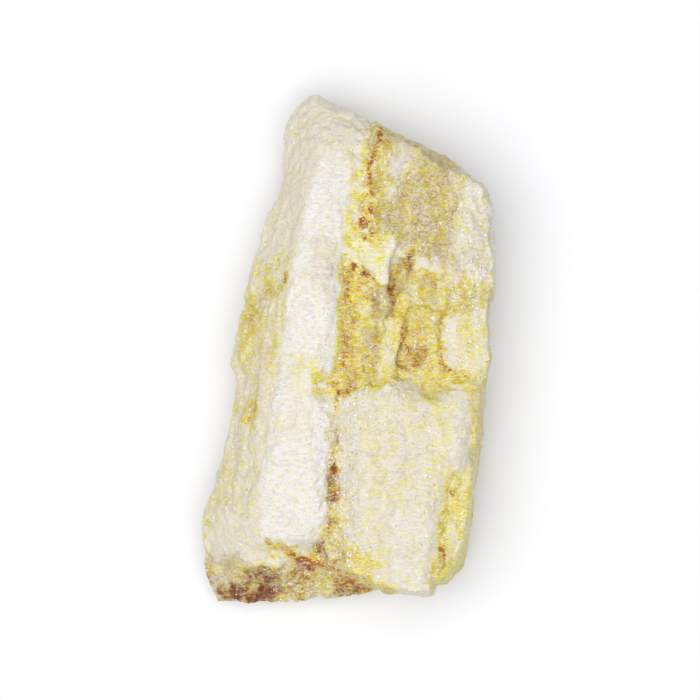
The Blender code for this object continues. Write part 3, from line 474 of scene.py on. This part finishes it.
# Places worn until a step is only a slope: outline, soft border and share.
FADED_PLACES = [
    # the rib's side above the hollow
    ([(-4.6, 10.6), (2.0, 9.8), (1.8, -5.0), (-4.6, -6.0)], 2.5, 1.0),
    # the upper edge of the block
    ([(-1.8, -1.8), (8.0, -1.6), (13.0, -2.8), (17.0, -4.4), (16.6, -7.4), (9.6, -9.0), (1.0, -7.8),
      (-1.8, -7.8)], 1.6, 0.85),
    # the upper and the lower seam beside the rib
    ([(-2.0, 26.0), (2.4, 26.0), (2.4, 12.0), (-2.4, 11.0)], 2.0, 0.65),
    ([(-5.0, -6.0), (0.4, -6.0), (0.4, -23.0), (-5.0, -24.0)], 2.0, 0.65),
    # the step between the block and the strip
    ([(10.8, -14.0), (14.8, -14.0), (14.4, -21.0), (13.6, -28.6), (9.4, -28.6)], 1.6, 0.7),
]

# The layers: white, which also carries painted light on edges and on shaded slopes; grey, which is partly
# painted shade; stain; dark, partly painted shade in recesses; and glint, the amount of painted highlights.
LAYERS = ("white", "grey", "stain", "dark", "glint")

# ---------------------------------------------------------------- noise

# The large primes that scatter the bits of a cell's numbers, and the bits that are kept of the result.
PRIMES = (374761393, 668265263, 2246822519, 3266489917)
ALL_BITS = 0xFFFFFFFF
LAST_BITS = 0xFFFFFF


def hashed(cell, seed):
    """A random number from 0 to 1 for each whole-numbered cell."""
    cell = cell.astype(np.int64)
    bits = sum(cell[:, k] * PRIMES[k] for k in range(3)) + seed * PRIMES[3]
    bits = (bits ^ (bits >> 15)) & ALL_BITS
    bits = (bits * PRIMES[2]) & ALL_BITS
    bits = bits ^ (bits >> 13)
    bits = (bits * PRIMES[3]) & ALL_BITS
    return ((bits ^ (bits >> 16)) & LAST_BITS) / LAST_BITS


def smooth(share):
    """0 up to 0, 1 from 1 on, and smooth between."""
    share = np.clip(share, 0.0, 1.0)
    return share * share * (3.0 - 2.0 * share)


CORNERS = [np.array((i, j, k)) for i in (0, 1) for j in (0, 1) for k in (0, 1)]
NEIGHBOURS = [np.array((i, j, k)) for i in (-1, 0, 1) for j in (-1, 0, 1) for k in (-1, 0, 1)]


def noise(points, seed):
    """Smooth random numbers from 0 to 1, with features about one unit wide."""
    cell = np.floor(points)
    share = smooth(points - cell)
    total = np.zeros(len(points))
    for corner in CORNERS:
        weight = np.prod(np.where(corner, share, 1.0 - share), axis=1)
        total += weight * hashed(cell + corner, seed)
    return total


def layered(points, seed, octaves=3):
    """Noise with finer and finer detail, from 0 to 1."""
    total = np.zeros(len(points))
    reach = 0.0
    for k in range(octaves):
        total += noise(points * 2.03 ** k, seed + k) * 0.5 ** k
        reach += 0.5 ** k
    return total / reach


def cells(points, seed):
    """The nearest of randomly placed centres: the offset from it and three random numbers of its own."""
    home = np.floor(points)
    nearest = np.full(len(points), np.inf)
    offset = np.zeros_like(points)
    owner = np.zeros_like(points)
    for neighbour in NEIGHBOURS:
        cell = home + neighbour
        centre = cell + np.stack([hashed(cell, seed + k) for k in range(3)], axis=1)
        away = points - centre
        distance = np.linalg.norm(away, axis=1)
        closer = distance < nearest
        nearest = np.where(closer, distance, nearest)
        offset[closer] = away[closer]
        owner[closer] = cell[closer]
    own = np.stack([hashed(owner, seed + 10 + k) for k in range(3)], axis=1)
    return offset, own


# ---------------------------------------------------------------- areas and strokes


def distance_to_line(x, y, points):
    """How far each place is from a line through the points."""
    nearest = np.full(len(x), np.inf)
    for (ax, ay), (bx, by) in zip(points, points[1:]):
        run_x, run_y = bx - ax, by - ay
        share = np.clip(((x - ax) * run_x + (y - ay) * run_y) / (run_x ** 2 + run_y ** 2), 0.0, 1.0)
        nearest = np.minimum(nearest, np.hypot(x - ax - share * run_x, y - ay - share * run_y))
    return nearest


def inside(x, y, outline):
    """Whether each place is inside the outline."""
    found = np.zeros(len(x), bool)
    for (ax, ay), (bx, by) in zip(outline, outline[1:] + outline[:1]):
        crosses = (ay > y) != (by > y)
        rise = by - ay if by != ay else 1.0
        found ^= crosses & (x < ax + (y - ay) * (bx - ax) / rise)
    return found


def area_weight(x, y, outline, border):
    """1 inside the outline and 0 outside, with a soft border of that width."""
    distance = distance_to_line(x, y, outline + outline[:1])
    signed = np.where(inside(x, y, outline), distance, -distance)
    return smooth(0.5 + signed / border)


def front_layers(places):
    """The areas and strokes as they lie on the front, with uneven outlines."""
    x = places[:, 0] + (layered(places * OUTLINE_SCALE, SEEDS["across"]) - 0.5) * OUTLINE_WANDER[0]
    y = places[:, 1] + (layered(places * OUTLINE_SCALE, SEEDS["along"]) - 0.5) * OUTLINE_WANDER[1]
    layers = {name: np.zeros(len(places)) for name in LAYERS}
    for outline, border, values in AREAS:
        weight = area_weight(x, y, outline, border)
        for name, value in values.items():
            layers[name] += (value - layers[name]) * weight
    patchy = layered(places * STROKE_SCALE, SEEDS["strokes"])
    for points, half_width, values in STROKES:
        near = smooth(STROKE_END - distance_to_line(x, y, points) / half_width)
        near = near * smooth(patchy * 2.4 - 0.5)
        for name, value in values.items():
            layers[name] += value * near
    return layers


def back_layers(places):
    """The layers of the sides and the back, which the areas and strokes do not reach."""
    broad = layered(places * BROAD_SCALE, SEEDS["broad"])
    middling = layered(places * MIDDLING_SCALE, SEEDS["middling"])
    return {
        "white": 0.5 * smooth(broad * 3.0 - 1.0),
        "grey": 0.5 * smooth(middling * 3.0 - 1.2),
        "stain": 0.12 + 0.5 * smooth(middling * 4.0 - 2.2) * smooth(broad * 4.0 - 1.6),
        "dark": 0.10 * smooth(2.0 - middling * 4.5),
    }


def colour_layers(places, normals):
    """How white, grey, stained, dark and glinting each place of the surface is."""
    layers = front_layers(places)
    for k, name in enumerate(("stain", "dark", "grey")):
        streaks = layered(places * STREAK_SCALE, SEEDS["streaks"] + 10 * k)
        patches = layered(places * PATCH_SCALE, SEEDS["patches"] + 10 * k)
        layers[name] *= 0.5 + smooth((0.5 * streaks + 0.5 * patches - 0.38) / 0.24)
    hidden = smooth(0.35 - normals[:, 2] * 2.0)
    for name, values in back_layers(places).items():
        kept = 0.35 * layers[name] + 0.65 * values
        layers[name] += (kept - layers[name]) * hidden
    return layers


def averaged(mesh, places, rounds):
    """The places, each drawn halfway to the middle of its neighbours that many times."""
    ends = np.empty(len(mesh.edges) * 2, np.int32)
    mesh.edges.foreach_get("vertices", ends)
    ends = ends.reshape(-1, 2)
    count = np.bincount(ends.ravel(), minlength=len(places))[:, None]
    around = places
    for _ in range(rounds):
        total = np.zeros_like(places)
        for k in range(3):
            total[:, k] = np.bincount(ends[:, 0], around[ends[:, 1], k], len(places))
            total[:, k] += np.bincount(ends[:, 1], around[ends[:, 0], k], len(places))
        around = 0.5 * around + 0.5 * total / count
    return around


def standing_out(mesh, places, normals):
    """How far each vertex stands out from its surroundings: above 0 on edges and below 0 in cracks."""
    around = averaged(mesh, places, STANDING_OUT_REACH)
    return np.einsum("ij,ij->i", places - around, normals)


def amount_at(table, plain_amount, places, normals):
    """The plain amount, and more of it in the table's places as far as they lie on the front."""
    amount = np.full(len(places), plain_amount)
    for outline, border, more in table:
        amount += more * area_weight(places[:, 0], places[:, 1], outline, border) * (normals[:, 2] > FRONT)
    return amount


# ---------------------------------------------------------------- the fine mesh


def coordinates(source, name):
    """Three numbers for each of the source's items, such as its place or its normal."""
    values = np.empty(len(source) * 3, np.float32)
    source.foreach_get(name, values)
    return values.reshape(-1, 3).astype(np.float64)


def apply_modifiers(crystal):
    """Gives the object the mesh that its modifiers make, and takes them off it."""
    evaluated = crystal.evaluated_get(bpy.context.evaluated_depsgraph_get())
    mesh = bpy.data.meshes.new_from_object(evaluated)
    crystal.modifiers.clear()
    crystal.data = mesh


def fine_copy(node):
    """A new object with the node's shape in small even faces."""
    crystal = bpy.data.objects.new("petalite_surface", node.data.copy())
    bpy.context.scene.collection.objects.link(crystal)
    remesh = crystal.modifiers.new("faces", "REMESH")
    remesh.mode = "VOXEL"
    remesh.voxel_size = FACE_SIZE * MM
    apply_modifiers(crystal)
    return crystal


def terraced(values, count, riser):
    """The values in steps: flat treads with a steep riser over the last share of each."""
    level = values * count
    tread = np.floor(level)
    return (tread + smooth((level - tread - 1.0 + riser) / riser)) / count


def faceted(places, scale, seed):
    """The height of randomly sloping flat facets: a slope of 1 or less in every direction."""
    offset, own = cells(places * scale, seed)
    return np.einsum("ij,ij->i", offset / scale, 2.0 * own - 1.0)


def relief(places, strength):
    """How far each place moves along its normal."""
    bend = (layered(places * BEND_SCALE, SEEDS["bend"]) - 0.5)[:, None] * BEND
    bent = (places + bend) * SHEET_SCALE
    sheets = terraced(layered(bent, SEEDS["sheets"], 2), STEPS, STEP_RISER) - 0.5
    finer = layered(bent * SPLINTER_FINENESS, SEEDS["splinters"], 2)
    splinters = terraced(finer, SPLINTERS, SPLINTER_RISER) - 0.5
    moved = STEP_RELIEF * sheets * np.minimum(strength, 1.0) + SPLINTER_RELIEF * splinters * strength
    moved += FACET_SLOPE * strength * faceted(places, FACET_SCALE, SEEDS["facets"])
    moved += CHIP_SLOPE * strength * faceted(places, CHIP_SCALE, SEEDS["chips"])
    moved += GRAIN_RELIEF * strength * (layered(places * GRAIN_SCALE, SEEDS["grain"], 2) - 0.5)
    return moved


def placed(mesh, places):
    """Moves the vertices to these places, kept inside the solid's box."""
    inner = np.clip(places, np.array(cad_box[0]) / MM, np.array(cad_box[1]) / MM)
    mesh.vertices.foreach_set("co", (inner * MM).astype(np.float32).ravel())
    mesh.update()


def thinned(crystal):
    """Removes faces, first where the surface is flat, until the mesh has the triangles it keeps."""
    triangles = sum(len(polygon.vertices) - 2 for polygon in crystal.data.polygons)
    thin = crystal.modifiers.new("thin", "DECIMATE")
    thin.ratio = min(1.0, TRIANGLES / triangles)
    apply_modifiers(crystal)
    placed(crystal.data, coordinates(crystal.data.vertices, "co") / MM)


def softened(crystal):
    """Rounds the edges a little, the worn and the faded places more, except where the crystal rests."""
    mesh = crystal.data
    places = coordinates(mesh.vertices, "co") / MM
    fade = smooth(places[:, 2] / REST_FADE)[:, None]
    soft = averaged(mesh, places, EDGE_REACH)
    softer = averaged(mesh, soft, WORN_REACH)
    softest = averaged(mesh, softer, FADED_REACH)
    target = soft
    for around, outlines in ((softer, WORN_PLACES), (softest, FADED_PLACES)):
        worn = np.zeros(len(places))
        for outline, border, share in outlines:
            worn = np.maximum(worn, share * area_weight(places[:, 0], places[:, 1], outline, border))
        target = target + (around - target) * worn[:, None]
    placed(mesh, places + (target - places) * fade)


def carved(crystal):
    """Gives the fine mesh its relief. It stays inside the solid's box and flat where it rests."""
    mesh = crystal.data
    places = coordinates(mesh.vertices, "co") / MM
    normals = coordinates(mesh.vertex_normals, "vector")
    moved = relief(places, amount_at(ROUGH_PLACES, PLAIN_RELIEF, places, normals))
    moved -= np.percentile(moved, LOWERED)
    sideways = [layered(places * WANDER_SCALE, SEEDS["wander"] + 5 * k) - 0.5 for k in range(3)]
    sideways = np.stack(sideways, axis=1)
    rest = places[:, 2] < REST_BAND
    fade = smooth(places[:, 2] / REST_FADE)[:, None]
    raised = places + (normals * moved[:, None] + sideways * WANDER) * fade
    raised += (averaged(mesh, raised, FINISH_REACH) - raised) * fade
    raised[rest] = places[rest]
    raised[rest, 2] = 0.0
    placed(mesh, raised)


def painted(crystal):
    """Stores the colour layers on the mesh, with edges whitened (worn, and a painted highlight), cracks
    darkened (dirt, and painted shade) and painted glints.
    """
    mesh = crystal.data
    places = coordinates(mesh.vertices, "co") / MM
    normals = coordinates(mesh.vertex_normals, "vector")
    layers = colour_layers(places, normals)
    patchy = 2.6 * layered(places * WEAR_AND_LIGHT_SCALE, SEEDS["wear_and_light"]) - 0.3
    wear_and_light = standing_out(mesh, places, normals) * patchy
    # painted light and shade: whiter edges, partly worn and partly a painted highlight; stained, darker
    # cracks, partly dirt and partly painted shade
    layers["white"] += EDGE_WHITE_AND_HIGHLIGHT * np.clip(wear_and_light, 0.0, MOST_STANDING_OUT)
    layers["stain"] += CRACK_STAIN_AND_SHADE * np.clip(-wear_and_light, 0.0, MOST_STANDING_OUT)
    layers["dark"] += CRACK_DIRT_AND_SHADE * np.clip(-wear_and_light - CRACK_DEPTH, 0.0, MOST_STANDING_OUT)
    # painted highlights: the amount of painted glints, more in the tables' places
    painted_glint_amount = amount_at(PAINTED_GLINT_PLACES, PLAIN_GLINT, places, normals)
    layers["glint"] = np.maximum(layers["glint"] + painted_glint_amount, 0.0)
    for name, values in layers.items():
        attribute = mesh.attributes.new(name, "FLOAT", "POINT")
        attribute.data.foreach_set("value", values.astype(np.float32))
    mesh.shade_smooth()
    mesh.set_sharp_from_angle(angle=SHARP)


# ---------------------------------------------------------------- material


def make_node(tree, kind, values=None, **settings):
    """A node with these settings and these values on its sockets. A value that is a socket is linked."""
    made = tree.nodes.new(kind)
    for name, setting in settings.items():
        setattr(made, name, setting)
    for name, value in (values or {}).items():
        if isinstance(value, bpy.types.NodeSocket):
            tree.links.new(value, made.inputs[name])
        else:
            made.inputs[name].default_value = value
    return made


def colour(rgb):
    """The colour as a socket takes it, with nothing see-through."""
    return (*rgb, 1.0)


def calculated(tree, operation, first, second, clamp=False):
    """What the operation makes of the first and the second, each a number or a socket."""
    terms = {0: first, 1: second}
    return make_node(tree, "ShaderNodeMath", terms, operation=operation, use_clamp=clamp).outputs[0]


def product(tree, first, second, clamp=False):
    """The first times the second."""
    return calculated(tree, "MULTIPLY", first, second, clamp)


# The sockets of a node that mixes colours.
SHARE_INPUT = 0
FIRST_INPUT = 6
SECOND_INPUT = 7
COLOUR_OUTPUT = 2


def mixed(tree, share, first, second, blend="MIX"):
    """A colour between the first and the second, each a colour or a socket."""
    made = tree.nodes.new("ShaderNodeMix")
    made.data_type = "RGBA"
    made.blend_type = blend
    made.clamp_factor = True
    for socket, value in ((SHARE_INPUT, share), (FIRST_INPUT, first), (SECOND_INPUT, second)):
        if isinstance(value, bpy.types.NodeSocket):
            tree.links.new(value, made.inputs[socket])
        elif socket == SHARE_INPUT:
            made.inputs[socket].default_value = value
        else:
            made.inputs[socket].default_value = colour(value)
    return made.outputs[COLOUR_OUTPUT]


def ramp(tree, share, low, high):
    """0 up to low, 1 from high on, and smooth between."""
    values = {0: share, 1: low, 2: high}
    return make_node(tree, "ShaderNodeMapRange", values, interpolation_type="SMOOTHSTEP").outputs[0]


def tinted(tree, body, amount, low, high, share, tint):
    """The colour with the tint over it: none where the amount is low, this share of it where it is high."""
    return mixed(tree, product(tree, ramp(tree, amount, low, high), share), body, tint)


def weighted(tree, terms, clamp=False):
    """The sum of the sockets, each times its weight."""
    total = 0.0
    for socket, weight in terms:
        term = product(tree, socket, weight)
        total = calculated(tree, "ADD", total, term, clamp)
    return total


def stretched(tree, place, scale):
    """The places, multiplied by the scale each way."""
    return make_node(tree, "ShaderNodeMapping", {"Vector": place, "Scale": scale}).outputs[0]


def noise_on(tree, place, scale, detail, shift=0.0):
    """Soft random values, with features as long as 1 divided by the scale each way."""
    values = {"Vector": place, "Scale": scale, "Location": (shift, shift, shift)}
    where = make_node(tree, "ShaderNodeMapping", values).outputs[0]
    values = {"Vector": where, "Scale": 1.0, "Detail": detail, "Roughness": 0.7}
    return make_node(tree, "ShaderNodeTexNoise", values).outputs["Fac"]


def cells_on(tree, place, scale):
    """Three random values for each grain."""
    values = {"Vector": stretched(tree, place, scale), "Scale": 1.0}
    made = make_node(tree, "ShaderNodeTexVoronoi", values)
    return make_node(tree, "ShaderNodeSeparateColor", {"Color": made.outputs["Color"]}).outputs


def ragged(tree, place, fineness, reach):
    """The places, shifted more here and less there, so that what is drawn at them gets uneven outlines."""
    values = {"Vector": place, "Scale": fineness, "Detail": 1.0}
    random = make_node(tree, "ShaderNodeTexNoise", values).outputs["Color"]
    values = {0: random, 1: (reach, reach, reach)}
    shift = make_node(tree, "ShaderNodeVectorMath", values, operation="MULTIPLY").outputs[0]
    return make_node(tree, "ShaderNodeVectorMath", {0: place, 1: shift}).outputs[0]


def spots_on(tree, place, scale, share):
    """Small separate spots, in this share of the cells."""
    values = {"Vector": stretched(tree, place, scale), "Scale": 1.0}
    made = make_node(tree, "ShaderNodeTexVoronoi", values)
    own = make_node(tree, "ShaderNodeSeparateColor", {"Color": made.outputs["Color"]}).outputs[0]
    threshold = calculated(tree, "SUBTRACT", 1.0, share)
    chosen = calculated(tree, "GREATER_THAN", own, threshold)
    return product(tree, chosen, ramp(tree, made.outputs["Distance"], 0.42, 0.24))


def mottled(tree, layer, pattern, calm):
    """Cream and white petalite with lilac and straw flecks in soft clouds."""
    flecks, fine, clouds = pattern["flecks"], pattern["fine"], pattern["clouds"]
    tinge = weighted(tree, [(flecks[0], 0.6), (fine, 0.7), (clouds, 0.4)])
    lilac_tinge = weighted(tree, [(flecks[1], 0.5), (fine, -0.5), (clouds, -0.3)])
    body = mixed(tree, ramp(tree, layer["white"], 0.0, 1.0), CREAM, WHITE)
    body = tinted(tree, body, lilac_tinge, -0.14, 0.04, 0.65, LILAC)
    return tinted(tree, body, tinge, 0.96, 1.14, calm, STRAW)


def stain_amount(tree, layer, pattern):
    """How stained each place is, in flecks that are stronger and weaker than the layer says."""
    terms = [(pattern["flecks"][0], 1.9), (pattern["short flecks"][0], 1.2), (pattern["clouds"], 1.0)]
    uneven = calculated(tree, "SUBTRACT", weighted(tree, terms), 1.0)
    return product(tree, layer["stain"], uneven)


def stained(tree, body, layer, pattern, amount):
    """The colour with an even tan over it, then the tints of stains, then mauve flecks."""
    body = tinted(tree, body, layer["stain"], 0.05, 0.6, 0.85, TAN)
    for low, high, share, tint in STAIN_TINTS:
        body = tinted(tree, body, amount, low, high, share, tint)
    terms = [(layer["stain"], 0.9), (layer["grey"], 0.35), (layer["dark"], 0.8)]
    coloured = weighted(tree, terms, clamp=True)
    return tinted(tree, body, pattern["short flecks"][1], 0.53, 0.75, coloured, MAUVE)


def speckled(tree, body, pattern, calm):
    """The colour with a fine speckle of straw and white over it."""
    body = tinted(tree, body, pattern["specks"][0], 0.6, 0.75, calm, STRAW)
    return tinted(tree, body, pattern["specks"][1], 0.66, 0.8, 0.5, WHITE)


def soiled_and_shaded(tree, body, layer, pattern, amount):
    """The colour with an even plum over it, then the tints of rust, then umber flecks, then grey, which is
    partly painted shade.
    """
    body = tinted(tree, body, layer["dark"], 0.1, 1.0, 0.5, PLUM)
    rusty = weighted(tree, [(layer["dark"], 1.7), (pattern["flecks"][2], 0.5)])
    rusty = product(tree, amount, rusty)
    for low, high, share, tint in RUST_TINTS:
        body = tinted(tree, body, rusty, low, high, share, tint)
    dirt = weighted(tree, [(pattern["short flecks"][2], 1.2), (pattern["flecks"][2], 0.8)])
    dirt = product(tree, layer["dark"], dirt)
    body = mixed(tree, ramp(tree, dirt, 0.25, 1.5), body, UMBER)
    return mixed(tree, product(tree, layer["grey"], 0.9, clamp=True), body, SHADE, "MULTIPLY")


def small_spots(tree, layer, in_mm):
    """Painted highlights, white flake glints along the cleavage and glints, and small dark dots, most of
    them in the broken places.
    """
    many = product(tree, layer["glint"], 0.42)
    few = weighted(tree, [(layer["glint"], 0.1), (layer["dark"], 0.2)])
    place = ragged(tree, in_mm, SPOT_SCALE, SPOT_WANDER)
    return [spots_on(tree, place, *kind) for kind in ((FLAKE_GLINTS, many), (GLINTS, many), (DARK_DOTS, few))]


def finished(tree, body, pattern, flake_glints, glints):
    """Gives the shader its colour, roughness and finest relief, and the values of petalite."""
    shader = tree.nodes["Principled BSDF"]
    tree.links.new(body, shader.inputs["Base Color"])
    rough = weighted(tree, [(pattern["fine"], 0.5), (pattern["short flecks"][1], 0.3)])
    rough = calculated(tree, "SUBTRACT", rough, product(tree, glints, 0.3), clamp=True)
    tree.links.new(rough, shader.inputs["Roughness"])
    terms = [(pattern["short flecks"][2], 0.6), (pattern["fine"], 1.2), (flake_glints, 0.8), (glints, 0.8)]
    values = {"Height": weighted(tree, terms), "Strength": BUMP_STRENGTH, "Distance": BUMP_HEIGHT * MM}
    tree.links.new(make_node(tree, "ShaderNodeBump", values).outputs[0], shader.inputs["Normal"])
    for name, value in PETALITE_VALUES.items():
        shader.inputs[name].default_value = value


def petalite():
    """The crystal's material: yellow and lilac mottling, clean white cleavage, ochre stains, grey that is
    partly painted shade, and painted glints.
    """
    material = bpy.data.materials.new("petalite")
    material.use_nodes = True
    tree = material.node_tree
    place = make_node(tree, "ShaderNodeTexCoord").outputs["Object"]
    in_mm = stretched(tree, place, (1.0 / MM, 1.0 / MM, 1.0 / MM))
    layer = {
        name: make_node(tree, "ShaderNodeAttribute", attribute_name=name).outputs["Fac"]
        for name in LAYERS
    }
    pattern = {
        "flecks": cells_on(tree, in_mm, FLECKS),
        "short flecks": cells_on(tree, in_mm, SHORT_FLECKS),
        "fine": noise_on(tree, in_mm, FINE_NOISE, detail=3.0, shift=80.0),
        "clouds": noise_on(tree, in_mm, CLOUDS, detail=4.0),
        "specks": cells_on(tree, in_mm, SPECKS),
    }
    calm = calculated(tree, "SUBTRACT", 0.42, product(tree, layer["white"], 0.22))
    amount = stain_amount(tree, layer, pattern)
    body = mottled(tree, layer, pattern, calm)
    body = stained(tree, body, layer, pattern, amount)
    body = speckled(tree, body, pattern, calm)
    body = soiled_and_shaded(tree, body, layer, pattern, amount)
    flake_glints, glints, dark_dots = small_spots(tree, layer, in_mm)
    # painted highlights: the flake glints and glints in white; the dark dots in umber
    for spots, share, tint in ((flake_glints, 0.65, GLINT), (glints, 0.9, GLINT), (dark_dots, 0.6, UMBER)):
        body = mixed(tree, product(tree, spots, share), body, tint)
    finished(tree, body, pattern, flake_glints, glints)
    return material


# ---------------------------------------------------------------- studio


def matt(name, rgb, roughness):
    """A material of one colour that mirrors nothing."""
    material = bpy.data.materials.new(name)
    material.use_nodes = True
    shader = material.node_tree.nodes["Principled BSDF"]
    shader.inputs["Base Color"].default_value = colour(rgb)
    shader.inputs["Roughness"].default_value = roughness
    shader.inputs["Specular IOR Level"].default_value = 0.0
    return material


def floor():
    """The paper that the crystal lies on."""
    corners = [(PAPER_HALF * x, PAPER_HALF * y, 0) for x, y in ((-1, -1), (1, -1), (1, 1), (-1, 1))]
    mesh = bpy.data.meshes.new("floor")
    mesh.from_pydata(corners, [], [(0, 1, 2, 3)])
    made = bpy.data.objects.new("floor", mesh)
    mesh.materials.append(matt("paper", PAPER, PAPER_ROUGHNESS))
    bpy.context.scene.collection.objects.link(made)
    return made


def soft_light(name, place, size, power):
    """A square lamp that faces the crystal."""
    lamp = bpy.data.lights.new(name, "AREA")
    lamp.size = size
    lamp.energy = power
    made = bpy.data.objects.new(name, lamp)
    made.location = place
    made.rotation_euler = (-Vector(place)).to_track_quat("-Z", "Y").to_euler()
    bpy.context.scene.collection.objects.link(made)


def studio():
    """A white world and one large soft lamp overhead."""
    world = bpy.data.worlds.new("studio")
    bpy.context.scene.world = world
    world.use_nodes = True
    background = world.node_tree.nodes["Background"]
    background.inputs["Color"].default_value = (1.0, 1.0, 1.0, 1.0)
    background.inputs["Strength"].default_value = WORLD_LIGHT
    soft_light("overhead", LAMP_PLACE, LAMP_SIZE, LAMP_POWER)
    bpy.context.scene.view_settings.view_transform = "Standard"
    bpy.context.scene.view_settings.look = "None"


def camera():
    """The camera, straight above the crystal."""
    lens = bpy.data.cameras.new("camera")
    lens.lens = LENS
    lens.sensor_width = SENSOR
    lens.clip_start = 0.01
    lens.clip_end = 10.0
    made = bpy.data.objects.new("camera", lens)
    distance = FRAME_WIDTH * LENS / SENSOR
    made.location = (FRAME_MIDDLE[0] * MM, FRAME_MIDDLE[1] * MM, (GIRTH_HEIGHT + distance) * MM)
    bpy.context.scene.collection.objects.link(made)
    bpy.context.scene.camera = made


# ---------------------------------------------------------------- the scene

crystal = fine_copy(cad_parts["petalite_crystal"])
softened(crystal)
carved(crystal)
thinned(crystal)
painted(crystal)
crystal.data.materials.clear()
crystal.data.materials.append(petalite())
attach(crystal, "root")
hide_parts("petalite_crystal")

floor()
studio()
camera()
